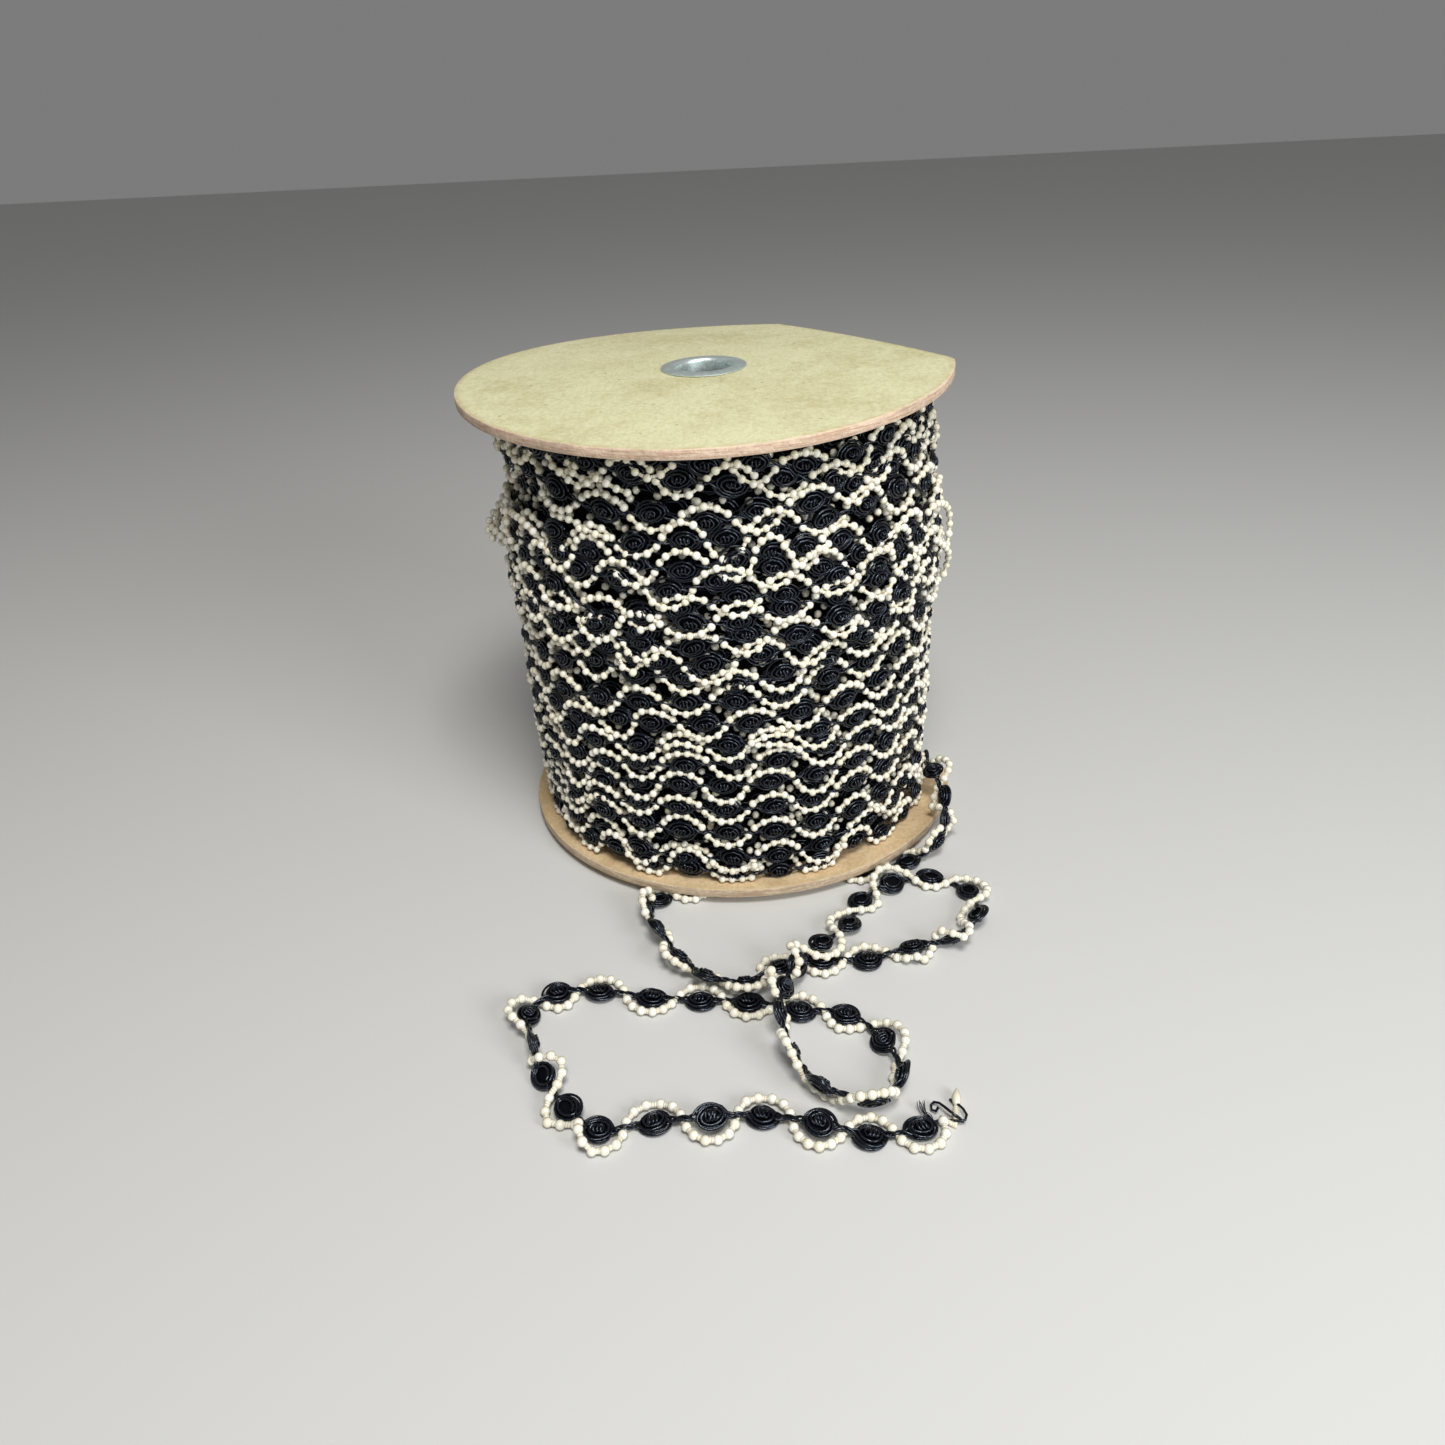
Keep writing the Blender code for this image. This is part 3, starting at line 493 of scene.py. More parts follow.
    def ease_apart(self, centres: ndarray, rounds: int = 18, most_aside: float = 1.1) -> ndarray:
        """Move pearls of different turns apart, mostly outward, until they hardly press into each other.

        Args:
            centres: The pearls' seated centres in mm, in their order along the string.
            rounds: How often every close pair is moved apart.
            most_aside: How far a pearl may go to the side, in mm.

        Returns:
            Their new seated centres in mm.
        """
        reach = 2.0 * self.sizes.pearl_radius
        seat = np.array(self.reel.seat())
        first = (centres - seat[:3, 3]) @ seat[:3, :3]
        outward = unit(np.c_[first[:, :2] - self.reel.axis(first[:, 2]), 0.0 * first[:, 2]])
        place = first.copy()
        for _ in range(rounds):
            square = np.sum(place ** 2, axis=1)
            near = square[:, None] + square[None, :] - 2.0 * place @ place.T < reach ** 2
            one, other = np.nonzero(np.triu(near, 2))
            apart = place[one] - place[other]
            depth = np.maximum(reach - np.linalg.norm(apart, axis=1), 0.0)
            outer = np.copysign(0.5, np.sum(apart * outward[one], axis=1))
            step = 0.45 * depth[:, None] * unit(apart + outward[one] * outer[:, None])
            moved = place - first
            np.add.at(moved, one, step)
            np.add.at(moved, other, -step)
            moved = 0.8 * moved + 0.1 * (np.roll(moved, 1, axis=0) + np.roll(moved, -1, axis=0))
            out = np.sum(moved * outward, axis=1)[:, None]
            side = moved - outward * out
            side *= np.minimum(1.0, most_aside / np.maximum(np.linalg.norm(side, axis=1), 1e-6))[:, None]
            place = first + side + outward * np.clip(out, *self.out_limits)
        return self.settle(place, self.sizes.pearl_radius)

    def settle(self, points: ndarray, radius: float) -> ndarray:
        """Keep a cord or pearl between the boards, and seat it with the reel.

        Args:
            points: Its points on the upright reel, in mm.
            radius: Its radius in mm.

        Returns:
            The seated points in mm.
        """
        low = self.reel.board_thick + radius + 0.1
        high = self.reel.under_top_board(points[:, 0], points[:, 1]) - radius - 0.1
        return self.reel.seated(np.c_[points[:, :2], np.clip(points[:, 2], low, high)])


@dataclass
class LooseStrand(Strand):
    """The trim that lies in curls in front of the reel."""

    sizes: TrimSizes = field(default_factory=lambda: TrimSizes(rose_length=4.15, rose_height=3.4, petal_height=4.0,
                                                                pearl_radius=1.36, thread_radius=0.85))
    flip: float = 120.0

    def __post_init__(self) -> None:
        """Alternate the string from side to side."""
        signs = np.where(np.arange(len(LOOSE_ROSES)) % 2 == 0, -1.0, 1.0)
        self.arcs = signs * self.sizes.string_reach
        self.bulges = np.full(len(signs), self.sizes.arc_bulge[1] * 0.6)

    def frames(self, places: ndarray) -> tuple[ndarray, ndarray, ndarray]:
        """Where the band lies and how it is turned. Where it turns by more than the flip, it turns evenly.

        Args:
            places: Places counted in roses.

        Returns:
            The centre in mm, the unit vector across the band and the one out of its face, for each place.
        """
        route = np.array(LOOSE_ROSES, float)
        centre = spread(route[:, :3], places)
        forward = unit(spread(route[:, :3], places + 0.05) - spread(route[:, :3], places - 0.05))
        index = np.clip(np.floor(places).astype(int), 0, len(route) - 2)
        t = places - index
        twist = route[index + 1, 3] - route[index, 3]
        turn = np.radians(route[index, 3] + twist * np.where(np.abs(twist) > self.flip, np.clip(t, 0, 1), ease(t)))
        left = unit(np.cross((0.0, 0.0, 1.0), forward))
        up = np.cross(forward, left)
        sine, cosine = np.sin(turn)[:, None], np.cos(turn)[:, None]
        return centre, left * cosine + up * sine, up * cosine - left * sine

    def settle(self, points: ndarray, radius: float) -> ndarray:
        """Keep points of a cord or pearl of this radius on or above the floor, in mm."""
        return np.c_[points[:, :2], np.maximum(points[:, 2], radius)]


@dataclass(frozen=True)
class RoseShape:
    """The cords of one rose, as points along, across and out of the band, in mm."""

    sizes: TrimSizes
    coil_steps: tuple[int, ...] = (12, 9)
    knot_steps: int = 11
    neck_steps: int = 4
    petal_steps: int = 6
    knots: int = 3
    coil_shrinks: tuple[float, float] = (0.46, 0.52)
    knot_row: tuple[float, float, float] = (1.35, 0.5, 0.34)
    petal_turn: tuple[float, float] = (math.radians(14.0), math.radians(168.0))

    def coil(self, rng: Generator) -> ndarray:
        """Wind a cord into pointed rings, smaller and higher towards the middle, and end it in a row of knots.

        Args:
            rng: Source of the small differences between roses.

        Returns:
            The line of the cord.
        """
        s = self.sizes
        angles = [0.0]
        for steps in self.coil_steps:
            start = angles[-1]
            angles += [start + math.tau * (k + 1) / steps for k in range(steps)]
        angle = np.array(angles)
        share = angle / angle[-1]
        turns = len(self.coil_steps)
        flat = np.interp(angle, np.arange(turns + 1) * math.tau, rng.uniform(0.92, 1.1, turns + 1))
        aside = np.interp(angle, np.arange(turns + 1) * math.tau, rng.uniform(-0.3, 0.3, turns + 1))
        length = s.rose_length * (1.0 - self.coil_shrinks[0] * share)
        height = s.rose_height * (1.0 - self.coil_shrinks[1] * share) * flat
        pointed = np.sin(angle) * np.maximum(np.abs(np.sin(angle)), 1e-6) ** rng.uniform(0.0, 0.5)
        rings = np.c_[length * np.cos(angle) + aside, height * pointed + 0.5 * aside, s.rose_dome * share + 0.15]
        turn = np.linspace(0.0, math.tau * self.knots, self.knot_steps + 1)[1:]
        run = np.linspace(1.0, -1.0, len(turn))
        half, wide, high = self.knot_row
        knot = np.c_[half * run + wide * np.cos(turn), s.rose_height * high * np.sin(turn) * rng.uniform(0.85, 1.15),
                     s.rose_dome + 0.4 + 0.35 * np.cos(turn)]
        return np.vstack((rings, knot))

    def petal(self, side: float, rng: Generator) -> ndarray:
        """Lay the outer loop on the side away from the pearls.

        Args:
            side: That side, 1 or -1.
            rng: Source of the small differences between roses.

        Returns:
            The line of the loop.
        """
        s = self.sizes
        turn = np.linspace(*self.petal_turn, self.petal_steps + 1)
        high = side * s.petal_height * rng.uniform(0.82, 1.06)
        return np.c_[(s.rose_length + 0.2) * np.cos(turn) + rng.uniform(-0.4, 0.4), high * np.sin(turn) ** 1.15,
                     np.full(len(turn), -0.1)]

    def neck(self, strands: int, rng: Generator) -> list[ndarray]:
        """Twist the cords that run from this rose over the crossing to the next.

        Args:
            strands: How many cords.
            rng: Source of the small differences between necks.

        Returns:
            One line for each cord.
        """
        s = self.sizes
        reach = s.rose_length - 0.9
        run = np.linspace(0.0, 1.0, self.neck_steps + 1)
        start = rng.uniform(0.0, math.tau)
        lines = []
        for strand in range(strands):
            turn = start + math.tau * (strand / strands + 0.85 * run)
            wide = 0.5 + 0.7 * np.abs(2.0 * run - 1.0) ** 2
            lines.append(np.c_[reach + (s.pitch - 2.0 * reach) * run, wide * np.cos(turn),
                               0.55 - 0.35 * np.abs(2.0 * run - 1.0) + 0.45 * np.sin(turn)])
        return lines

    def cords(self, strands: int, side: float, rng: Generator) -> list[ndarray]:
        """Lay the cords of one rose and of the neck after it.

        Args:
            strands: How many cords the neck has.
            side: The side away from the pearls, 1 or -1.
            rng: Source of the small differences between roses.

        Returns:
            The lines of the cords.
        """
        coil = self.coil(rng)
        coil[:, :2] *= rng.choice((-1.0, 1.0), 2)
        coil[:, 1] += rng.uniform(-0.18, 0.18) * coil[:, 0]
        petal = [self.petal(side, rng)] if self.petal_steps else []
        return [coil] + petal + self.neck(strands, rng)


def rose_cords(strand: Strand, shape: RoseShape, strands: int, count: int, rng: Generator) -> list[ndarray]:
    """Lay the roses of a strand and the necks between them.

    Args:
        strand: The run of trim.
        shape: The shape of a rose.
        strands: How many cords a neck has.
        count: How many roses.
        rng: Source of the small differences between roses.

    Returns:
        The lines of the cords, in mm.
    """
    lines = []
    for rose in range(count):
        cords = shape.cords(strands, -math.copysign(1.0, strand.arcs[rose]), rng)
        laid = [strand.lay(line, rose) for line in cords[:-strands]]
        if rose < count - 1:
            laid += [strand.bend(line, rose) for line in cords[-strands:]]
        lines += [strand.settle(line, strand.sizes.cord_radius) for line in laid]
    return lines


class Recipe:
    """A node tree, with a short way to add its nodes."""

    prefix = "ShaderNode"

    def __init__(self, tree: NodeTree) -> None:
        """Work on this tree."""
        self.tree = tree

    def add(self, kind: str, values: dict | None = None, **settings: object) -> Node:
        """Add a node, set its properties and feed its inputs.

        Args:
            kind: The node's type, without its prefix.
            values: A value, or a socket to link from, for each input by name or number.
            **settings: Properties of the node itself.

        Returns:
            The node.
        """
        node = self.tree.nodes.new(self.prefix + kind)
        for key, value in settings.items():
            setattr(node, key, value)
        for key, value in (values or {}).items():
            if isinstance(value, NodeSocket):
                self.tree.links.new(value, node.inputs[key])
            else:
                node.inputs[key].default_value = value
        return node

    def start_group(self, inputs: dict[str, tuple], outputs: dict[str, str]) -> None:
        """Give a group's tree its sockets.

        Args:
            inputs: Each input's socket type, and its first value where it has one.
            outputs: Each output's socket type.
        """
        for title, (kind, *first) in inputs.items():
            socket = self.tree.interface.new_socket(title, in_out="INPUT", socket_type="NodeSocket" + kind)
            for value in first:
                socket.default_value = value
        for title, kind in outputs.items():
            self.tree.interface.new_socket(title, in_out="OUTPUT", socket_type="NodeSocket" + kind)
        self.inward = self.tree.nodes.new("NodeGroupInput").outputs
        self.outward = self.tree.nodes.new("NodeGroupOutput").inputs

    def give(self, **sockets: NodeSocket) -> NodeTree:
        """Connect the group's outputs.

        Args:
            **sockets: The socket that each output takes.

        Returns:
            The finished group.
        """
        for title, socket in sockets.items():
            self.tree.links.new(socket, self.outward[title])
        return self.tree


class ShapeGroup(Recipe):
    """A geometry node group with one geometry in and one out."""

    prefix = "GeometryNode"

    def __init__(self, name: str) -> None:
        """Start the group."""
        super().__init__(bpy.data.node_groups.new(name, "GeometryNodeTree"))
        self.start_group({"Geometry": ("Geometry",)}, {"Geometry": "Geometry"})

    def store(self, geometry: NodeSocket, title: str, value: NodeSocket, kind: str) -> NodeSocket:
        """Keep a value on the points of a geometry.

        Args:
            geometry: The geometry.
            title: The attribute's name.
            value: The value.
            kind: The attribute's type.

        Returns:
            The geometry with the attribute.
        """
        values = {"Geometry": geometry, "Name": title, "Value": value}
        return self.add("StoreNamedAttribute", values, data_type=kind, domain="POINT").outputs["Geometry"]


def in_scene(name: str, data: ID) -> Object:
    """Put an object into the scene.

    Args:
        name: Its name.
        data: Its mesh, curve, camera or light.

    Returns:
        The object.
    """
    made = bpy.data.objects.new(name, data)
    bpy.context.scene.collection.objects.link(made)
    return made


def cords_object(name: str, lines: list[ndarray], radius: float, sides: int = 4) -> Object:
    """Make one mesh of round cords with closed ends.

    Each point keeps how far along its cord it is, in metres, as "along", and its place round the cord as "round".

    Args:
        name: The piece's name.
        lines: The cords' lines in mm.
        radius: The cord's radius in mm.
        sides: How many sides the cord has.

    Returns:
        The mesh object, in the scene.
    """
    curve = bpy.data.curves.new(name, "CURVE")
    curve.dimensions = "3D"
    for line in lines:
        spline = curve.splines.new("POLY")
        spline.points.add(len(line) - 1)
        spline.points.foreach_set("co", np.c_[line * MM, np.ones(len(line))].ravel())
    group = ShapeGroup(name + "_sweep")
    along = group.store(group.inward["Geometry"], "along", group.add("SplineParameter").outputs["Length"], "FLOAT")
    ring = group.add("CurvePrimitiveCircle", {"Resolution": sides, "Radius": radius * MM}).outputs["Curve"]
    ring = group.store(ring, "round", group.add("InputPosition").outputs["Position"], "FLOAT_VECTOR")
    swept = group.add("CurveToMesh", {"Curve": along, "Profile Curve": ring, "Fill Caps": True})
    return as_mesh(name, curve, group.give(Geometry=swept.outputs["Mesh"]))


def as_mesh(name: str, data: ID, group: NodeTree) -> Object:
    """Run a curve or mesh through a geometry node group, into a plain mesh.

    Args:
        name: The piece's name.
        data: The curve or mesh.
        group: The group.

    Returns:
        The mesh object, in the scene.
    """
    source = in_scene(name + "_source", data)
    source.modifiers.new("shape", "NODES").node_group = group
    graph = bpy.context.evaluated_depsgraph_get()
    mesh = bpy.data.meshes.new_from_object(source.evaluated_get(graph), depsgraph=graph)
    bpy.data.objects.remove(source)
    mesh.name = name
    mesh.materials.clear()
    mesh.shade_smooth()
    return in_scene(name, mesh)


def scattered_object(name: str, one: BMesh, centres: ndarray, sizes: ndarray, turns: ndarray, tints: ndarray) -> Object:
    """Put a copy of a small shape on each point and make one mesh of them.

    Args:
        name: The piece's name.
        one: The small shape, which is freed.
        centres: The points in mm.
        sizes: How much each copy is scaled, in mm, three numbers each.
        turns: The turn of each, as a quaternion.
        tints: A number from 0 to 1 for each, kept as the attribute "tint".

    Returns:
        The mesh object, in the scene.
    """
    one_mesh = bpy.data.meshes.new(name + "_one")
    one.to_mesh(one_mesh)
    one.free()
    one_mesh.shade_smooth()
    one_object = bpy.data.objects.new(name + "_one", one_mesh)
    dots = bpy.data.meshes.new(name + "_dots")
    dots.vertices.add(len(centres))
    dots.vertices.foreach_set("co", (centres * MM).ravel())
    for title, kind, field_name, values in (("size", "FLOAT_VECTOR", "vector", sizes * MM),
                                            ("turn", "QUATERNION", "value", turns), ("tint", "FLOAT", "value", tints)):
        data = dots.attributes.new(title, kind, "POINT").data
        data.foreach_set(field_name, np.asarray(values, np.float32).ravel())
    group = ShapeGroup(name + "_scatter")
    info = group.add("ObjectInfo", {"Object": one_object})
    size, turn = (group.add("InputNamedAttribute", {"Name": title}, data_type=kind)
                  for title, kind in (("size", "FLOAT_VECTOR"), ("turn", "QUATERNION")))
    placed = group.add("InstanceOnPoints", {"Points": group.inward["Geometry"], "Instance": info.outputs["Geometry"],
                                            "Scale": size.outputs["Attribute"], "Rotation": turn.outputs["Attribute"]})
    real = group.add("RealizeInstances", {"Geometry": placed.outputs["Instances"]})
    made = as_mesh(name, dots, group.give(Geometry=real.outputs["Geometry"]))
    bpy.data.objects.remove(one_object)
    return made


def pearls_object(name: str, centres: ndarray, radii: ndarray, tints: ndarray, coarse: bool = False) -> Object:
    """Put a pearl on each point.

    Args:
        name: The piece's name.
        centres: The pearls' centres in mm.
        radii: Their radii in mm.
        tints: A number from 0 to 1 for each, for its colour.
        coarse: Whether the pearls are hidden so far that a few faces do.

    Returns:
        The mesh object, in the scene.
    """
    ball = bmesh.new()
    if coarse:
        bmesh.ops.create_uvsphere(ball, u_segments=6, v_segments=4, radius=1.06)
    else:
        bmesh.ops.create_icosphere(ball, subdivisions=2, radius=1.02)
    turns = np.random.default_rng(len(centres)).normal(size=(len(centres), 4))
    return scattered_object(name, ball, centres, np.repeat(radii[:, None], 3, axis=1), unit(turns), tints)


def pads_object(name: str, strand: Strand, count: int, size: tuple[float, float, float], sunk: float) -> Object:
    """Put a flat oval back of stitching under the open rings of each rose.

    Args:
        name: The piece's name.
        strand: The run of trim.
        count: How many roses.
        size: Half the oval's length, height and thickness, in mm.
        sunk: How far under the rings its middle lies, in mm.

    Returns:
        The mesh object, in the scene.
    """
    oval = bmesh.new()
    bmesh.ops.create_uvsphere(oval, u_segments=8, v_segments=4, radius=1.0)
    centre, across, face = strand.frames(np.arange(count, dtype=float))
    turns = []
    for side, out in zip(across @ strand.lean().T, face @ strand.lean().T):
        along = np.cross(side, out)
        turns.append(Matrix(np.c_[along, side, out].tolist()).to_quaternion())
    places = strand.settle(centre - face * sunk, size[2])
    return scattered_object(name, oval, places, np.tile(size, (count, 1)), np.array(turns), np.zeros(count))


def finish_mesh(name: str, shape: BMesh, sharp: float = 60.0) -> Object:
    """Turn a bmesh into a smooth piece in the scene.

    Args:
        name: The piece's name.
        shape: The bmesh, which is freed.
        sharp: Edges sharper than this many degrees stay sharp.

    Returns:
        The mesh object.
    """
    mesh = bpy.data.meshes.new(name)
    shape.to_mesh(mesh)
    shape.free()
    mesh.shade_smooth()
    mesh.set_sharp_from_angle(angle=math.radians(sharp))
    return in_scene(name, mesh)


def spun(section: list[tuple[float, float]], steps: int) -> BMesh:
    """Spin a closed section into a ring about +Z.

    Args:
        section: The section's corners, as distance from the axis and height.
        steps: How many steps the full turn has.

    Returns:
        The ring, in the section's own unit.
    """
    shape = bmesh.new()
    corners = [shape.verts.new((across, 0.0, height)) for across, height in section]
    edges = [shape.edges.new(pair) for pair in zip(corners, corners[1:] + corners[:1])]
    bmesh.ops.spin(shape, geom=corners + edges, axis=(0, 0, 1), cent=(0, 0, 0), angle=math.tau, steps=steps,
                   use_merge=True)
    bmesh.ops.remove_doubles(shape, verts=shape.verts, dist=0.0001)
    bmesh.ops.recalc_face_normals(shape, faces=shape.faces)
    return shape


def run_of(line: ndarray) -> ndarray:
    """How far along a line each of its points is."""
    return np.r_[0.0, np.cumsum(np.linalg.norm(np.diff(line, axis=0), axis=1))]


def points_at(line: ndarray, at: ndarray) -> ndarray:
    """The points of a line at the given distances along it."""
    run = run_of(line)
    return np.c_[[np.interp(at, run, line[:, k]) for k in range(3)]].T


def pearl_looks(count: int, radius: float, shares: tuple[float, float], rng: Generator) -> tuple[ndarray, ndarray]:
    """Draw how pearls differ from each other.

    Args:
        count: How many pearls.
        radius: Their usual radius, in mm.
        shares: The least and the most of it that one has.
        rng: Source of the differences.

    Returns:
        Their tints from 0 to 1 and their radii in mm.
    """
    return rng.uniform(0.0, 1.0, count), radius * rng.uniform(*shares, count)


def string_of_pearls(strand: Strand, count: int, rng: Generator, steps: int = 40) -> tuple:
    """Space pearls along the string, with a gap where a neck crosses it.

    Args:
        strand: The run of trim.
        count: How many roses it passes.
        rng: Source of the small differences between pearls.
        steps: How many steps the string is measured in beside each rose.

    Returns:
        The pearls' centres in mm, and for each arc the line of its thread, whose ends dip under the necks.
    """
    s = strand.sizes
    centres, threads = [], []
    for rose in range(count):
        places = rose + np.linspace(-0.5, 0.5, steps + 1)
        line = strand.settle(strand.string(places), s.pearl_radius * 1.07)
        length = run_of(line)[-1]
        whole = length - s.crossing_gap
        pearls = max(3, int(round(whole / s.pearl_pitch)) + 1)
        at = s.crossing_gap / 2 + whole * np.linspace(0.0, 1.0, pearls) + rng.uniform(-0.12, 0.12, pearls)
        points = points_at(line, np.r_[s.thread_hidden, at, length - s.thread_hidden])
        centres.append(points[1:-1])
        threads.append(points)
    return np.vstack(centres), threads


def tone(red: float, green: float, blue: float) -> tuple[float, float, float, float]:
    """Turn a colour as seen on a screen, 0 to 255, into the linear one a material wants."""
    shares = (value / 255.0 for value in (red, green, blue))
    return (*(share / 12.92 if share <= 0.04 else ((share + 0.055) / 1.055) ** 2.4 for share in shares), 1.0)


class Mixer(Recipe):
    """A shader node tree, with short ways to add what a finish is mixed from."""

    def attribute(self, title: str, output: str = "Fac") -> NodeSocket:
        """Read an attribute of the piece."""
        return self.add("Attribute", attribute_name=title).outputs[output]

    def place(self, scale: tuple[float, float, float] = (1.0, 1.0, 1.0),
              turn: tuple[float, float, float] = (0.0, 0.0, 0.0)) -> NodeSocket:
        """Object coordinates, stretched and turned."""
        source = self.add("TexCoord").outputs["Object"]
        return self.add("Mapping", {"Vector": source, "Scale": scale, "Rotation": turn}).outputs["Vector"]

    def maths(self, operation: str, *values: Feed) -> NodeSocket:
        """Combine numbers."""
        return self.add("Math", dict(enumerate(values)), operation=operation).outputs[0]

    def noise(self, where: NodeSocket, scale: Feed, detail: float = 3.0, rough: float = 0.5) -> NodeSocket:
        """Cloudy noise from 0 to 1."""
        values = {"Vector": where, "Scale": scale, "Detail": detail, "Roughness": rough}
        return self.add("TexNoise", values).outputs[0]

    def between(self, value: NodeSocket, low: float, high: float, to_low: float = 0.0,
                to_high: float = 1.0) -> NodeSocket:
        """Ease a value from one range to another, held at its ends."""
        values = {"Value": value, "From Min": low, "From Max": high, "To Min": to_low, "To Max": to_high}
        return self.add("MapRange", values, interpolation_type="SMOOTHSTEP").outputs["Result"]

    def mix(self, share: Feed, one: Feed, other: Feed, way: str = "MIX") -> NodeSocket:
        """Mix two colours."""
        return self.add("Mix", {0: share, 6: one, 7: other}, data_type="RGBA", blend_type=way).outputs[2]

    def stain(self, colour: Feed, where: Feed, most: Feed, other: Feed) -> NodeSocket:
        """Mix another colour in where a mask says, at most by a share."""
        return self.mix(self.maths("MULTIPLY", where, most), colour, other)

    def effect(self, group: NodeTree, **values: Feed) -> bpy.types.bpy_prop_collection:
        """Place a shared effect with its own values, and give its outputs."""
        return self.add("Group", values, node_tree=group).outputs


class Effect(Mixer):
    """An effect that several finishes share, as a shader node group."""

    def __init__(self, name: str, inputs: dict[str, tuple], outputs: dict[str, str]) -> None:
        """Start the group with each input's type and first value, and each output's type."""
        super().__init__(bpy.data.node_groups.new(name, "ShaderNodeTree"))
        self.start_group(inputs, outputs)


class Effects:
    """The effects that the finishes share, each built once."""

    def __init__(self) -> None:
        """Build them."""
        self.twist = self.twisted_cord()
        self.handling = self.handled()
        self.fibre = self.pressed_fibre()

    @staticmethod
    def twisted_cord() -> NodeTree:
        """Plies twisted together: their height and a mask that is 1 on their crowns.

        Returns:
            The group.
        """
        group = Effect("twisted_cord", {"Pitch": ("Float", 0.0008), "Plies": ("Float", 2.0)},
                       {"Height": "Float", "Crown": "Float"})
        round_it = group.add("SeparateXYZ", {0: group.attribute("round", "Vector")})
        turn = group.maths("ARCTAN2", round_it.outputs["Y"], round_it.outputs["X"])
        run = group.maths("DIVIDE", group.maths("MULTIPLY", group.attribute("along"), math.tau), group.inward["Pitch"])
        phase = group.maths("ADD", group.maths("MULTIPLY", turn, group.inward["Plies"]), run)
        wave = group.maths("MULTIPLY_ADD", group.maths("COSINE", phase), 0.5, 0.5)
        fuzz = group.noise(group.place(), 5200.0, 2.0)
        height = group.maths("ADD", wave, group.maths("MULTIPLY", fuzz, 0.35))
        return group.give(Height=height, Crown=group.between(wave, 0.05, 0.75))

    @staticmethod
    def handled() -> NodeTree:
        """Patches that handling has rubbed or soiled, from 0 to 1.

        Returns:
            The group.
        """
        group = Effect("handling", {"Patch": ("Float", 60.0), "Amount": ("Float", 0.5)}, {"Mask": "Float"})
        broad = group.noise(group.place(), group.inward["Patch"], 4.0, 0.62)
        broken = group.noise(group.place(), group.maths("MULTIPLY", group.inward["Patch"], 9.0), 3.0)
        both = group.maths("ADD", broad, group.maths("MULTIPLY", group.maths("SUBTRACT", broken, 0.5), 0.45))
        return group.give(Mask=group.maths("MULTIPLY", group.between(both, 0.42, 0.72), group.inward["Amount"]))

    @staticmethod
    def pressed_fibre() -> NodeTree:
        """Pressed wood fibre: its colour and height.

        Returns:
            The group.
        """
        inputs = {"Pale": ("Color", (0.6, 0.6, 0.4, 1.0)), "Dark": ("Color", (0.4, 0.4, 0.2, 1.0)),
                  "Speck": ("Color", (0.2, 0.15, 0.08, 1.0)), "Specks": ("Float", 0.5)}
        group = Effect("pressed_fibre", inputs, {"Color": "Color", "Height": "Float"})
        cloud = group.noise(group.place(), 60.0, 4.0, 0.55)
        grain = group.noise(group.place(), 760.0, 4.0, 0.6)
        fibres = []
        for turn, stretch in ((0.4, 210.0), (1.5, 260.0), (2.6, 230.0)):
            lying = group.noise(group.place((1.0, 0.13, 1.0), (0.0, 0.0, turn)), stretch * 4.6, 2.0, 0.5)
            fibres.append(group.between(lying, 0.56, 0.74))
        fibre = group.maths("MAXIMUM", group.maths("MAXIMUM", fibres[0], fibres[1]), fibres[2])
        tinted = group.maths("ADD", group.maths("MULTIPLY", cloud, 0.35), group.maths("MULTIPLY", grain, 0.75))
        colour = group.mix(group.between(tinted, 0.36, 0.78, 0.0, 0.7), group.inward["Pale"], group.inward["Dark"])
        colour = group.stain(colour, fibre, 0.16, group.inward["Dark"])
        cells = group.add("TexVoronoi", {"Vector": group.place(), "Scale": 420.0, "Randomness": 1.0})
        near = group.between(cells.outputs["Distance"], 0.34, 0.12)
        chosen = group.add("SeparateColor", {0: cells.outputs["Color"]}).outputs[0]
        speck = group.maths("MULTIPLY", near, group.between(chosen, 0.9, 0.995))
        colour = group.stain(colour, speck, group.inward["Specks"], group.inward["Speck"])
        height = group.maths("ADD", group.maths("MULTIPLY", grain, 0.6), group.maths("MULTIPLY", fibre, 0.5))
        return group.give(Color=colour, Height=height)


def start_material(name: str, steady: tuple) -> tuple[Material, Node]:
    """Start a material.

    Args:
        name: Its name.
        steady: The shader inputs that are the same all over it, each with its value.

    Returns:
        The material and its shader.
    """
    material = bpy.data.materials.new(name)
    material.use_nodes = True
    shader = material.node_tree.nodes["Principled BSDF"]
    for title, value in steady:
        shader.inputs[title].default_value = value
    return material, shader


@dataclass(frozen=True)
class Finish:
    """What every finish has: a name, steady shader inputs, and a bump of so many mm at some strength."""

    name: str
    steady: tuple[tuple[str, float | tuple], ...]
    bump: tuple[float, float]

    def mix(self, mixer: Mixer, effects: Effects) -> tuple:
        """Mix what changes over its surface.

        Args:
            mixer: The material's tree.
            effects: The shared effects.

        Returns:
            The sockets for its colour, its roughness and the height of its bump.
        """
        raise NotImplementedError

    def material(self, effects: Effects) -> Material:
        """Build the finish.

        Args:
            effects: The shared effects.

        Returns:
            The material.
        """
        material, shader = start_material(self.name, self.steady)
        mixer = Mixer(material.node_tree)
        colour, rough, height = self.mix(mixer, effects)
        bump = mixer.add("Bump", {"Height": height, "Distance": self.bump[0] * MM, "Strength": self.bump[1]})
        for title, socket in (("Base Color", colour), ("Roughness", rough), ("Normal", bump.outputs["Normal"])):
            mixer.tree.links.new(socket, shader.inputs[title])
        return material


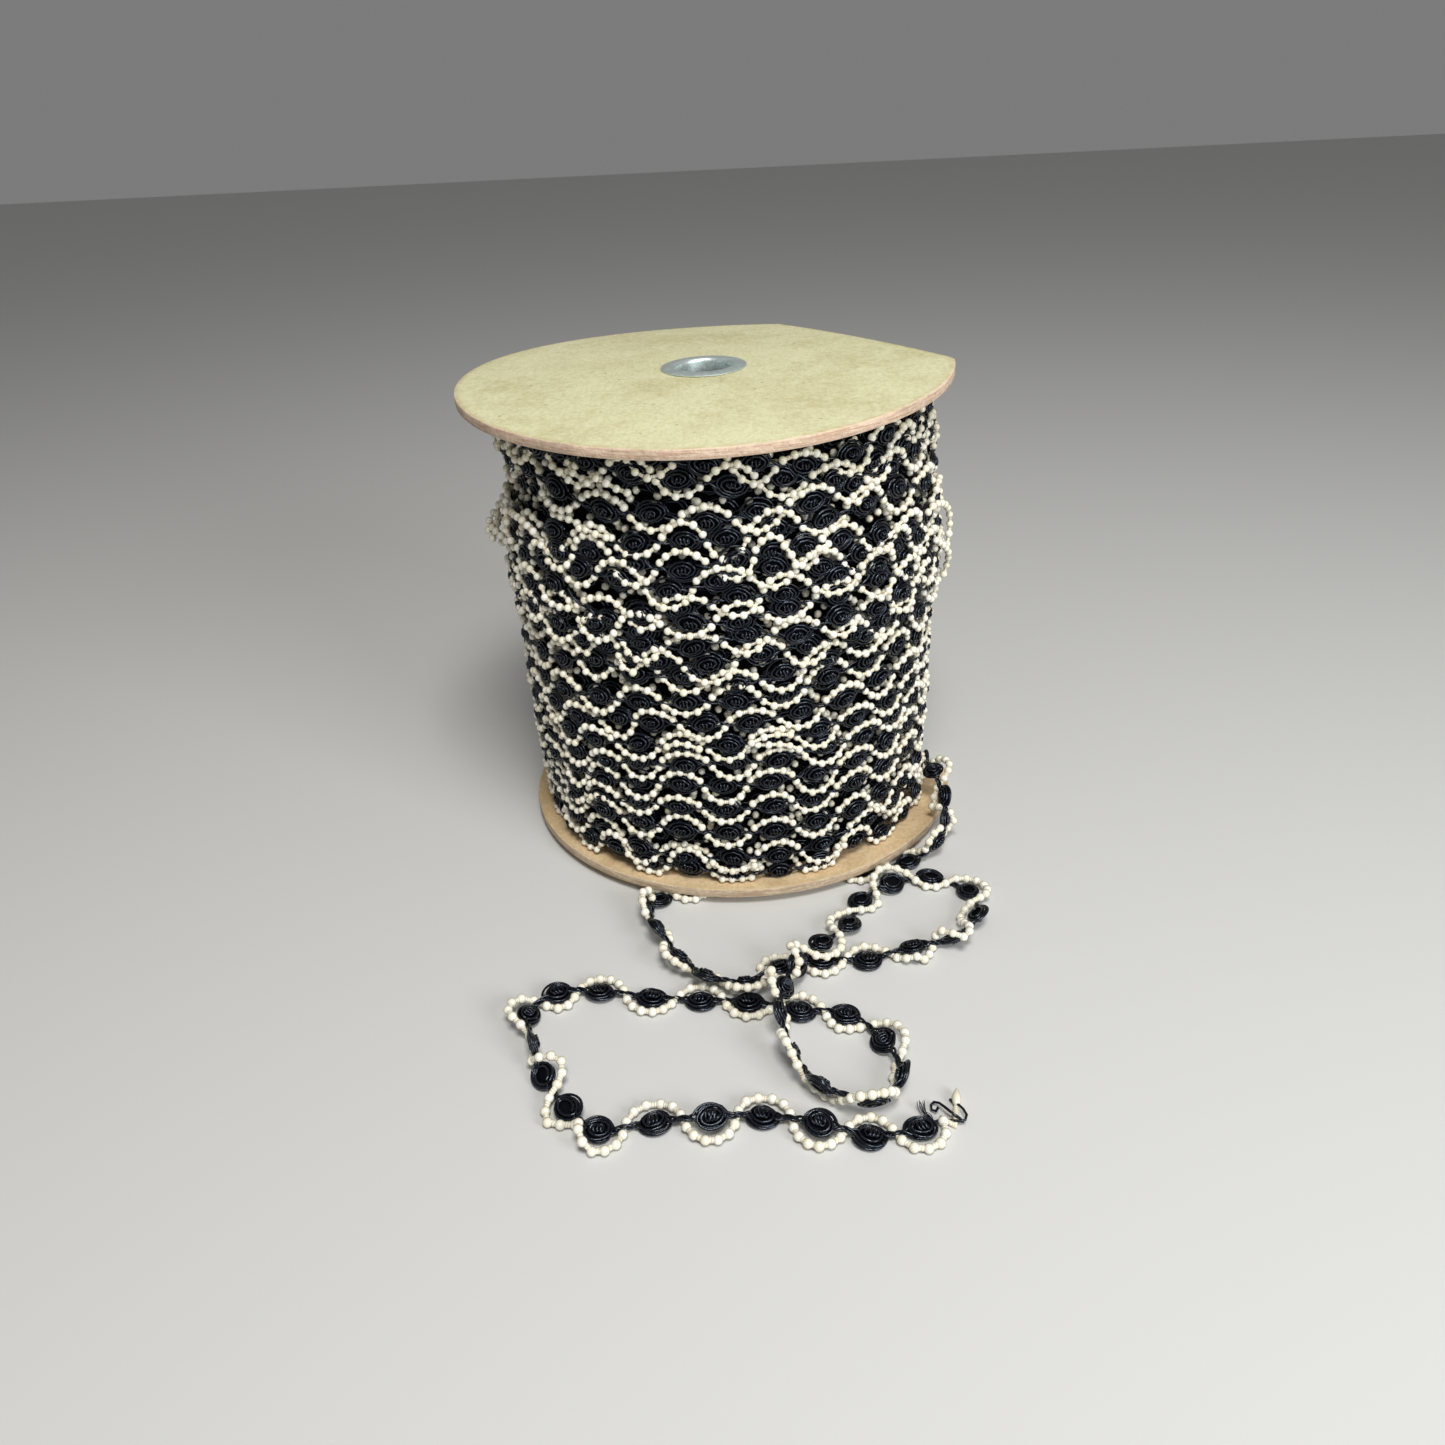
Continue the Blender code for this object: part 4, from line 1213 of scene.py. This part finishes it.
@dataclass(frozen=True)
class TwistedCord(Finish):
    """A cord of twisted plies, with painted shade in the grooves between them and lighter crowns, faded or soiled in
    patches. The first values are the black satin cord's.
    """

    name: str = "black_satin_cord"
    steady: tuple = (("Specular IOR Level", 0.6), ("Specular Tint", (0.72, 0.84, 1.0, 1.0)))
    bump: tuple[float, float] = (0.04, 0.25)
    pitch: float = 0.0008
    plies: float = 2.0
    # The painted shade of the grooves, then the colour of the crowns.
    groove_shade_and_crown: tuple = (tone(2, 3, 5), tone(13, 16, 26))
    patches: tuple[float, float] = (130.0, 0.5)
    stain: tuple = (0.4, tone(32, 26, 27))
    cloud: float = 900.0
    rough: tuple[float, float] = (0.16, 0.28)

    def mix(self, mixer: Mixer, effects: Effects) -> tuple:
        """Mix what changes over its surface.

        Args:
            mixer: The material's tree.
            effects: The shared effects.

        Returns:
            The sockets for its colour, its roughness and the height of its bump.
        """
        twist = mixer.effect(effects.twist, Pitch=self.pitch, Plies=self.plies)
        marked = mixer.effect(effects.handling, Patch=self.patches[0], Amount=self.patches[1])["Mask"]
        # Painted shade: the grooves between the plies take the darker tone, the crowns the lighter one.
        colour = mixer.stain(mixer.mix(twist["Crown"], *self.groove_shade_and_crown), marked, *self.stain)
        return colour, mixer.between(mixer.noise(mixer.place(), self.cloud), 0.3, 0.7, *self.rough), twist["Height"]


@dataclass(frozen=True)
class PackedThread(Finish):
    """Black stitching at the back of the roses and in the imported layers."""

    name: str = "packed_black_thread"
    steady: tuple = (("Specular IOR Level", 0.07),)
    bump: tuple[float, float] = (0.25, 0.7)

    def mix(self, mixer: Mixer, effects: Effects) -> tuple:
        """Mix what changes over its surface.

        Args:
            mixer: The material's tree.
            effects: The shared effects.

        Returns:
            The sockets for its colour, its roughness and the height of its bump.
        """
        rows = mixer.noise(mixer.place((0.25, 0.25, 1.0)), 1900.0, 2.0)
        lint = mixer.effect(effects.handling, Patch=150.0, Amount=0.6)["Mask"]
        colour = mixer.stain(mixer.mix(rows, tone(1, 2, 3), tone(8, 10, 16)), lint, 0.25, tone(22, 23, 28))
        return colour, mixer.between(rows, 0.3, 0.7, 0.6, 0.85), rows


@dataclass(frozen=True)
class CreamPearl(Finish):
    """Cream plastic pearl: a glossy coat over a cream body, with painted golden shade at the rim that turns away from
    the view.
    """

    name: str = "cream_pearl"
    steady: tuple = (("Coat Weight", 0.35), ("Coat Roughness", 0.12), ("Specular IOR Level", 0.5))
    bump: tuple[float, float] = (0.12, 0.35)

    def mix(self, mixer: Mixer, effects: Effects) -> tuple:
        """Mix what changes over its surface.

        Args:
            mixer: The material's tree.
            effects: The shared effects.

        Returns:
            The sockets for its colour, its roughness and the height of its bump.
        """
        tint = mixer.attribute("tint")
        worn = mixer.effect(effects.handling, Patch=220.0, Amount=0.8)["Mask"]
        body = mixer.mix(tint, tone(238, 232, 211), tone(245, 243, 234))
        body = mixer.stain(body, worn, 0.4, tone(229, 216, 180))
        # Painted shade: each pearl's rim, where it turns away from the view, is darkened towards golden brown.
        painted_rim_shade = mixer.add("LayerWeight", {"Blend": 0.42}).outputs["Facing"]
        colour = mixer.mix(mixer.between(painted_rim_shade, 0.24, 0.9, 0.0, 0.85), body, tone(150, 134, 96))
        return colour, mixer.between(worn, 0.0, 0.8, 0.16, 0.38), mixer.noise(mixer.place(), 1500.0, 2.0)


@dataclass(frozen=True)
class StringThread(TwistedCord):
    """White string between the pearls, twisted, with painted shade in its grooves, and a little soiled."""

    name: str = "pearl_string"
    steady: tuple = (("Sheen Weight", 0.2), ("Specular IOR Level", 0.4))
    bump: tuple[float, float] = (0.12, 0.6)
    pitch: float = 0.0007
    plies: float = 1.0
    # The painted shade of the grooves, then the colour of the crowns.
    groove_shade_and_crown: tuple = (tone(214, 204, 172), tone(246, 243, 230))
    patches: tuple[float, float] = (90.0, 0.8)
    stain: tuple = (0.5, tone(188, 172, 132))
    cloud: float = 700.0
    rough: tuple[float, float] = (0.42, 0.62)


@dataclass(frozen=True)
class BoardFace(Finish):
    """Face of a fibre board, rubbed and soiled, darker and scuffed along its edge."""

    name: str = "board_khaki_face"
    steady: tuple = (("Specular IOR Level", 0.25),)
    bump: tuple[float, float] = (0.12, 0.55)
    pale: tuple = tone(221, 219, 182)
    dark: tuple = tone(190, 184, 140)

    def mix(self, mixer: Mixer, effects: Effects) -> tuple:
        """Mix what changes over its surface.

        Args:
            mixer: The material's tree.
            effects: The shared effects.

        Returns:
            The sockets for its colour, its roughness and the height of its bump.
        """
        fibre = mixer.effect(effects.fibre, Pale=self.pale, Dark=self.dark, Speck=tone(132, 116, 78), Specks=0.5)
        rubbed = mixer.effect(effects.handling, Patch=34.0, Amount=0.9)["Mask"]
        soiled = mixer.mix(1.0, fibre["Color"], tone(232, 228, 212), "MULTIPLY")
        colour = mixer.stain(fibre["Color"], rubbed, 0.7, soiled)
        edge = mixer.between(mixer.attribute("edge"), 2.6, 0.2)
        scuff = mixer.between(mixer.noise(mixer.place(), 340.0, 4.0, 0.6), 0.38, 0.62)
        fringe = mixer.maths("MULTIPLY", edge, mixer.maths("MULTIPLY_ADD", scuff, 0.7, 0.15))
        colour = mixer.stain(colour, fringe, 0.8, tone(186, 166, 124))
        return colour, mixer.between(rubbed, 0.0, 0.9, 0.86, 0.7), fibre["Height"]


@dataclass(frozen=True)
class BoardRim(Finish):
    """Cut rim of a fibre board, in thin layers, with paler lips."""

    name: str = "board_pink_rim"
    steady: tuple = (("Specular IOR Level", 0.2),)
    bump: tuple[float, float] = (0.25, 0.7)
    pale: tuple = tone(224, 204, 180)
    dark: tuple = tone(190, 158, 136)

    def mix(self, mixer: Mixer, effects: Effects) -> tuple:
        """Mix what changes over its surface.

        Args:
            mixer: The material's tree.
            effects: The shared effects.

        Returns:
            The sockets for its colour, its roughness and the height of its bump.
        """
        place = mixer.add("SeparateXYZ", {0: mixer.place()}).outputs
        deep = mixer.attribute("deep")
        scaled = (mixer.maths("MULTIPLY", *pair) for pair in ((place["X"], 130.0), (place["Y"], 130.0), (deep, 5.5)))
        layer = mixer.noise(mixer.add("CombineXYZ", dict(enumerate(scaled))).outputs[0], 1.0, 4.0, 0.62)
        fibre = mixer.effect(effects.fibre, Pale=self.pale, Dark=self.dark, Speck=tone(120, 92, 66), Specks=0.5)
        colour = mixer.mix(mixer.between(layer, 0.44, 0.64), fibre["Color"], self.dark)
        lip = mixer.between(mixer.maths("ABSOLUTE", mixer.maths("SUBTRACT", deep, 0.5)), 0.36, 0.5)
        rubbed = mixer.effect(effects.handling, Patch=70.0, Amount=0.8)["Mask"]
        colour = mixer.stain(mixer.stain(colour, lip, 0.6, self.pale), rubbed, 0.6, tone(150, 134, 116))
        rough = mixer.between(layer, 0.3, 0.7, 0.8, 0.96)
        return colour, rough, mixer.maths("ADD", mixer.maths("MULTIPLY", layer, 1.2), fibre["Height"])


@dataclass(frozen=True)
class ZincPlate(Finish):
    """Zinc plated steel, dulled and scratched."""

    name: str = "zinc_plate"
    steady: tuple = (("Metallic", 0.85),)
    bump: tuple[float, float] = (0.03, 0.5)

    def mix(self, mixer: Mixer, effects: Effects) -> tuple:
        """Mix what changes over its surface.

        Args:
            mixer: The material's tree.
            effects: The shared effects.

        Returns:
            The sockets for its colour, its roughness and the height of its bump.
        """
        dull = mixer.effect(effects.handling, Patch=260.0, Amount=1.0)["Mask"]
        scratch = mixer.noise(mixer.place((1.0, 0.08, 1.0), (0.0, 0.0, 0.9)), 2600.0, 3.0)
        colour = mixer.mix(dull, tone(238, 250, 248), tone(206, 222, 218))
        marks = mixer.maths("ADD", mixer.maths("MULTIPLY", dull, 0.6), mixer.maths("MULTIPLY", scratch, 0.6))
        return colour, mixer.between(marks, 0.2, 0.9, 0.34, 0.6), scratch


@dataclass(frozen=True)
class TrimMaterials:
    """The materials of the trim's cords, packed stitching, pearls and string."""

    cord: Material
    packed: Material
    pearl: Material
    thread: Material


def dress(piece: Object, slot: Slot, *materials: Material, node: str = "") -> Object:
    """Give a piece its materials and body, and hide the solid that it replaces.

    Args:
        piece: The piece.
        slot: Its slot of the record. Not used.
        *materials: Its materials, in the order that its faces count them.
        node: The solid that it stands for, if it replaces one.

    Returns:
        The piece.
    """
    for material in materials:
        piece.data.materials.append(material)
    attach(piece, BODY)
    if node:
        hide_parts(node)
    return piece


@dataclass
class WoundTrim:
    """The trim on the reel."""

    materials: TrimMaterials
    strand: WoundStrand = field(default_factory=WoundStrand)
    under: WoundStrand = field(default_factory=lambda: WoundStrand(depth=3.4, proud=0.6))
    stray_spacing: float = 3.0
    pads_sunk: float = 0.25
    inner_radius: float = 60.0
    inner_depth: float = 5.2
    inner_gap: float = 0.5
    seed: int = 3

    def build(self) -> list[Object]:
        """Make the roses, the string of pearls and the dark layers under them."""
        rng = np.random.default_rng(self.seed)
        return [*self.build_roses(rng), *self.build_string(rng), *self.build_under_layer(), self.build_inner_layers()]

    def build_roses(self, rng: Generator) -> list[Object]:
        """Make the roses of the top layer, in two halves, and their backs.

        Args:
            rng: Source of the small differences between roses.

        Returns:
            The pieces.
        """
        strand, wear = self.strand, self.materials
        count = len(strand.angles)
        lines = rose_cords(strand, RoseShape(strand.sizes), 2, count, rng)
        half = len(lines) // 2
        low, high = (cords_object(name, part, strand.sizes.cord_radius)
                     for name, part in (("wound_roses_low", lines[:half]), ("wound_roses_high", lines[half:])))
        backs = pads_object("wound_rose_backs", strand, count, strand.sizes.pad, self.pads_sunk)
        return [dress(low, Slot.WOUND, wear.cord, node="wound_roll"), dress(high, Slot.WOUND, wear.cord),
                dress(backs, Slot.WOUND, wear.packed)]

    def build_string(self, rng: Generator) -> list[Object]:
        """Make the pearls and the thread of the top layer, with the stray lengths.

        Args:
            rng: Source of the small differences between pearls.

        Returns:
            The pieces.
        """
        strand = self.strand
        count = len(strand.angles)
        centres, threads = string_of_pearls(strand, count, rng)
        for rows in STRAY_STRINGS:
            line = strand.settle(strand.across_turns(rows), strand.sizes.pearl_radius)
            length = run_of(line)[-1]
            threads.append(points_at(line, np.linspace(0.0, length, int(length / self.stray_spacing) + 1)))
        centres = strand.ease_apart(np.vstack((centres, *threads[count:])))
        done = 0
        for k, line in enumerate(threads):
            pearls = slice(1, -1) if k < count else slice(None)
            line[pearls] = centres[done:done + len(line[pearls])]
            done += len(line[pearls])
        tints, radii = pearl_looks(len(centres), strand.sizes.pearl_radius, (0.94, 1.05), rng)
        middle = len(centres) // 2
        pieces = [dress(pearls_object(name, centres[part], radii[part], tints[part]), Slot.WOUND, self.materials.pearl)
                  for name, part in (("wound_pearls_low", slice(middle)), ("wound_pearls_high", slice(middle, None)))]
        thread = cords_object("wound_thread", threads, strand.sizes.thread_radius)
        return [*pieces, dress(thread, Slot.WOUND, self.materials.thread)]

    def build_under_layer(self) -> list[Object]:
        """Make the layer that shows between the roses of the top one.

        Returns:
            The pieces.
        """
        rng = np.random.default_rng(self.seed + 1)
        under = self.under
        count = len(under.arcs)
        shape = RoseShape(under.sizes, coil_steps=(8, 6), knot_steps=0, neck_steps=1, petal_steps=0)
        roses = cords_object("under_roses", rose_cords(under, shape, 1, count, rng), under.sizes.cord_radius)
        dress(roses, Slot.WOUND, self.materials.cord)
        centres = string_of_pearls(under, count, rng)[0]
        tints, radii = pearl_looks(len(centres), under.sizes.pearl_radius, (0.95, 1.05), rng)
        pearls = pearls_object("under_pearls", centres, radii, tints, coarse=True)
        return [roses, dress(pearls, Slot.WOUND, self.materials.pearl)]

    def build_inner_layers(self, columns: int = 128, rows: int = 40) -> Object:
        """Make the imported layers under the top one, as a ring with a bore.

        Args:
            columns: How many faces the ring has round its axis.
            rows: How many it has over its height.

        Returns:
            The piece.
        """
        strand, reel = self.strand, self.strand.reel
        bottom = reel.board_thick + self.inner_gap
        wall = [(self.inner_radius, k / rows) for k in range(rows + 1)]
        shape = spun([(reel.core_bore, 0.0), *wall, (reel.core_bore, 1.0)], columns)
        for vert in shape.verts:
            angle = math.atan2(vert.co.y, vert.co.x)
            cosine, sine = math.cos(angle), math.sin(angle)
            edge_x, edge_y = (move + self.inner_radius * way for move, way in zip(reel.top_shift, (cosine, sine)))
            top = float(reel.under_top_board(edge_x, edge_y)) - self.inner_gap
            height = bottom + (top - bottom) * vert.co.z
            radius = reel.core_bore
            if math.hypot(vert.co.x, vert.co.y) > 2.0 * reel.core_bore:
                wide = strand.middle_radius(np.array([angle]), np.array([height]))[0]
                radius = float(wide) - self.inner_depth + 0.5 * math.sin(height * 0.87) * math.sin(angle * 16.0)
            shift = Vector((*reel.top_shift, 0.0)) * (height / reel.height)
            vert.co = (reel.seat() @ (Vector((radius * cosine, radius * sine, height)) + shift)) * MM
        return dress(finish_mesh("wound_inner_layers", shape, 50.0), Slot.WOUND, self.materials.packed)


@dataclass
class LooseEnd:
    """The trim that lies in curls in front of the reel, with its frayed end."""

    materials: TrimMaterials
    strand: LooseStrand = field(default_factory=LooseStrand)
    pad: tuple[float, float, float] = (3.8, 2.6, 0.3)
    fray_radius: float = 0.11
    fray_count: int = 9
    bead_radius: float = 1.32
    seed: int = 8

    def build(self) -> list[Object]:
        """Returns:
            The pieces.
        """
        rng = np.random.default_rng(self.seed)
        strand, sizes, wear = self.strand, self.strand.sizes, self.materials
        count = len(LOOSE_ROSES) - 1
        lines = self.rose_lines(count, rng)
        roses = dress(cords_object("loose_roses", lines, sizes.cord_radius, 6), Slot.LOOSE, wear.cord)
        backs = dress(pads_object("loose_rose_backs", strand, count, self.pad, 0.0), Slot.LOOSE, wear.packed)
        fray = cords_object("loose_frayed_threads", self.frayed_threads(rng), self.fray_radius, 4)
        frayed = dress(fray, Slot.LOOSE, wear.cord)
        centres, threads = string_of_pearls(strand, count, rng)
        line = strand.settle(np.vstack([*threads, np.array(LAST_THREAD)]), sizes.thread_radius)
        string = dress(cords_object("loose_thread", [line], sizes.thread_radius, 6), Slot.LOOSE, wear.thread)
        last = dress(self.end_bead(), Slot.LOOSE, wear.pearl)
        tints, radii = pearl_looks(len(centres), sizes.pearl_radius, (0.96, 1.04), rng)
        pearls = pearls_object("loose_pearls", centres, radii, tints)
        dress(pearls, Slot.LOOSE, wear.pearl, node="loose_trim")
        path = strand.settle(strand.frames(np.linspace(0.0, float(count), count * 6 + 1))[0], 0.5) * MM
        return [roses, backs, frayed, string, last, pearls]

    def rose_lines(self, count: int, rng: Generator) -> list[ndarray]:
        """Lay the roses with their plainer undersides, and the cords of the cut end.

        Args:
            count: How many roses.
            rng: Source of the small differences between roses.

        Returns:
            The lines of the cords, in mm.
        """
        sizes = self.strand.sizes
        shape = RoseShape(sizes, coil_steps=(20, 16), knot_steps=27, neck_steps=10, petal_steps=12)
        lines = rose_cords(self.strand, shape, 3, count, rng) + [np.array(line) for line in CUT_CORDS]
        plain = RoseShape(sizes, coil_steps=(15, 12), knot_steps=0)
        for rose in range(count):
            under = self.strand.lay(plain.coil(rng) * (1.0, 1.0, -0.7), rose)
            lines.append(self.strand.settle(under, sizes.cord_radius))
        return lines

    def frayed_threads(self, rng: Generator) -> list[ndarray]:
        """Fan out the fine threads of the cut end.

        Args:
            rng: Source of the way that each thread wanders.

        Returns:
            One line for each thread, in mm.
        """
        fan = []
        for _ in range(self.fray_count):
            wander = np.cumsum(rng.normal(0.0, 0.28, (len(FRAY), 3)), axis=0)
            wander[0] = 0.0
            threads = spread(np.array(FRAY) + wander * (1.0, 1.0, 0.5), np.linspace(0.0, len(FRAY) - 1.0, 14))
            fan.append(np.c_[threads[:, :2], np.maximum(threads[:, 2], 0.15)])
        return fan

    def end_bead(self) -> Object:
        """Make the drawn-out bead that the string is cut at.

        Returns:
            The piece.
        """
        base, tip = (Vector(end) for end in END_BEAD)
        shape = bmesh.new()
        bmesh.ops.create_uvsphere(shape, u_segments=14, v_segments=10, radius=1.0)
        turn = (tip - base).to_track_quat("Z", "Y")
        for vert in shape.verts:
            share = 0.5 + 0.5 * vert.co.z
            width = self.bead_radius * (1.0 - 0.62 * share ** 2)
            place = Vector((vert.co.x * width, vert.co.y * width, share * (tip - base).length))
            vert.co = (base + turn @ place) * MM
        return finish_mesh("loose_end_bead", shape)


@dataclass
class Boards:
    """The two fibre board flanges."""

    effects: Effects
    upper_face: BoardFace = BoardFace()
    upper_rim: BoardRim = BoardRim()
    lower_face: BoardFace = BoardFace("board_tan_face", pale=tone(222, 198, 160), dark=tone(190, 158, 118))
    lower_rim: BoardRim = BoardRim("board_tan_rim", pale=tone(214, 196, 168), dark=tone(172, 148, 122))
    reel: ReelSizes = field(default_factory=ReelSizes)
    steps: int = 180
    rings: int = 10
    edge: float = 0.35

    def outline(self, angle: float) -> float:
        """Distance from a board's centre to its edge, with the straight flat.

        Args:
            angle: The direction, in radians.

        Returns:
            The distance in mm.
        """
        off = math.atan2(math.sin(angle - self.reel.flat_direction), math.cos(angle - self.reel.flat_direction))
        if abs(off) >= self.reel.flat_half_angle:
            return self.reel.flange_radius
        return self.reel.flange_radius * math.cos(self.reel.flat_half_angle) / math.cos(off)

    def section(self) -> list[tuple[float, float]]:
        """The section of a round board, with its edges eased.

        Returns:
            Its corners in mm, as distance from the axis and height.
        """
        hole, rim, thick, edge = self.reel.hole_radius, self.reel.flange_radius, self.reel.board_thick, self.edge
        flat = [hole + (rim - 3.0 - hole) * k / self.rings for k in range(self.rings + 1)] + [rim - 1.5, rim - edge]
        side = [(rim - 0.12, 0.1), (rim, edge), (rim, thick * 0.5), (rim, thick - edge), (rim - 0.12, thick - 0.1)]
        return [(x, 0.0) for x in flat] + side + [(x, thick) for x in reversed(flat)]

    def build_one(self, name: str, place: Matrix, bow: float) -> Object:
        """Make one board. Its rim's faces take the second material.

        Args:
            name: The piece's name.
            place: Where its underside's centre is, in mm.
            bow: How far its front and back edges droop, in mm.

        Returns:
            The board.
        """
        hole, rim = self.reel.hole_radius, self.reel.flange_radius
        shape = spun(self.section(), self.steps)
        to_edge, deep = (shape.verts.layers.float.new(title) for title in ("edge", "deep"))
        for item in shape.faces:
            centre = item.calc_center_median()
            item.material_index = 1 if math.hypot(centre.x, centre.y) > rim - 0.5 else 0
        for vert in shape.verts:
            radius = math.hypot(vert.co.x, vert.co.y)
            vert[to_edge] = rim - radius
            vert[deep] = vert.co.z / self.reel.board_thick
            reach = self.outline(math.atan2(vert.co.y, vert.co.x)) - hole
            moved = hole + (radius - hole) / (rim - hole) * reach
            vert.co.x *= moved / radius
            vert.co.y *= moved / radius
            vert.co.z -= bow * (vert.co.y / rim) ** 2
            vert.co = (place @ vert.co) * MM
            vert.co.z = max(vert.co.z, 0.0)
        return finish_mesh(name, shape, 40.0)

    def build(self) -> list[Object]:
        """Make both boards.

        Returns:
            The pieces.
        """
        reel = self.reel
        upper = self.build_one("upper_board", reel.top_seat(-reel.board_thick), reel.top_bow)
        lower = self.build_one("lower_board", reel.seat(), 0.0)
        return [dress(board, slot, *(finish.material(self.effects) for finish in finishes), node=node)
                for board, slot, finishes, node in (
                    (upper, Slot.BOARD_UPPER, (self.upper_face, self.upper_rim), "flange_top"),
                    (lower, Slot.BOARD_LOWER, (self.lower_face, self.lower_rim), "flange_bottom"))]


@dataclass
class Eyelets:
    """The two rolled eyelets."""

    steel: Material
    reel: ReelSizes = field(default_factory=ReelSizes)
    wall: float = 0.45
    crown: float = 0.75
    neck_past_board: float = 1.9
    seated: float = 0.06
    steps: int = 96

    def section(self) -> list[tuple[float, float]]:
        """The section of an eyelet, from the neck's end along the lip's underside and back over its crown.

        Returns:
            Its corners in mm, as distance from the axis and height over the board.
        """
        outer, bore, crown = self.reel.eyelet_outer, self.reel.eyelet_bore, self.crown
        neck, tail = bore + self.wall, -self.reel.board_thick - self.neck_past_board
        return [(bore, tail), (neck, tail), (neck, -0.25), (neck + 0.3, -0.02), (outer - 0.25, -0.02),
                (outer, 0.06), (outer, 0.22), (outer - 0.2, 0.36), (outer - 1.4, 0.62), (outer - 2.6, crown),
                (bore + 1.5, crown), (bore + 0.8, crown * 0.86), (bore + 0.3, crown * 0.5), (bore, 0.0),
                (bore - 0.02, -0.6)]

    def build(self) -> list[Object]:
        """Make both eyelets, each with its lip lying on its board.

        Returns:
            The pieces.
        """
        down = Matrix.Translation((0.0, 0.0, -self.seated)) @ Matrix.Rotation(math.pi, 4, "X")
        pieces = []
        for name, place, slot, node in (
                ("upper_eyelet", self.reel.top_seat(self.seated), Slot.EYELET_UPPER, "eyelet_top"),
                ("lower_eyelet", self.reel.seat() @ down, Slot.EYELET_LOWER, "eyelet_bottom")):
            shape = spun(self.section(), self.steps)
            for vert in shape.verts:
                vert.co = (place @ vert.co) * MM
            pieces.append(dress(finish_mesh(name, shape, 50.0), slot, self.steel, node=node))
        return pieces


@dataclass(frozen=True)
class Stage:
    """Camera, floor and light."""

    camera_place: tuple[float, float, float] = (0.00584, -0.36637, 0.23396)
    camera_turn: tuple[float, float, float] = (60.451, 2.538, -0.058)
    lens: float = 28.815
    floor: tuple[float, float, float, float] = (0.62, 0.62, 0.61, 1.0)
    aim: tuple[float, float, float] = (0.0, -0.03, 0.07)
    room_light: float = 0.2
    lamps: tuple = (("key", (0.08, -0.52, 0.95), 0.3, 7.8, (1.0, 0.98, 0.94)),
                    ("fill", (0.55, -0.65, 0.4), 0.35, 4.0, (0.94, 0.97, 1.0)))

    def build_camera(self) -> None:
        """Put the camera where the photographer stood."""
        data = bpy.data.cameras.new("camera")
        data.lens = self.lens
        data.sensor_width = 36.0
        data.clip_start = 0.01
        camera = in_scene("camera", data)
        camera.location = self.camera_place
        camera.rotation_euler = tuple(math.radians(a) for a in self.camera_turn)
        bpy.context.scene.camera = camera

    def build_floor(self) -> None:
        """Lay a plain pale floor."""
        shape = bmesh.new()
        bmesh.ops.create_grid(shape, x_segments=1, y_segments=1, size=3.0)
        mesh = bpy.data.meshes.new("floor")
        shape.to_mesh(mesh)
        shape.free()
        mesh.materials.append(start_material("plain_floor", (("Roughness", 0.75), ("Base Color", self.floor)))[0])
        in_scene("floor", mesh)

    def build_lights(self) -> None:
        """Hang soft lights."""
        world = bpy.data.worlds.new("soft_room")
        world.use_nodes = True
        background = world.node_tree.nodes["Background"].inputs
        background["Color"].default_value = (1.0, 1.0, 1.0, 1.0)
        background["Strength"].default_value = self.room_light
        bpy.context.scene.world = world
        bpy.context.scene.view_settings.view_transform = "Standard"
        for name, place, size, power, colour in self.lamps:
            data = bpy.data.lights.new(name, "AREA")
            data.size = size
            data.energy = power
            data.color = colour
            light = in_scene(name, data)
            light.location = place
            light.rotation_euler = (Vector(self.aim) - Vector(place)).to_track_quat("-Z", "Y").to_euler()


def main() -> None:
    """Build every piece and report it."""
    logging.basicConfig(level=logging.INFO, format="%(name)s %(message)s")
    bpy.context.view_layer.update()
    stage = Stage()
    stage.build_camera()
    effects = Effects()
    trim = TrimMaterials(*(kind().material(effects) for kind in (TwistedCord, PackedThread, CreamPearl, StringThread)))
    for part in (LooseEnd(trim), WoundTrim(trim), Boards(effects), Eyelets(ZincPlate().material(effects))):
        for piece in part.build():
            LOG.info("%s: %d triangles", piece.name, sum(len(face.vertices) - 2 for face in piece.data.polygons))
    stage.build_floor()
    stage.build_lights()


if __name__ == "__main__":
    main()
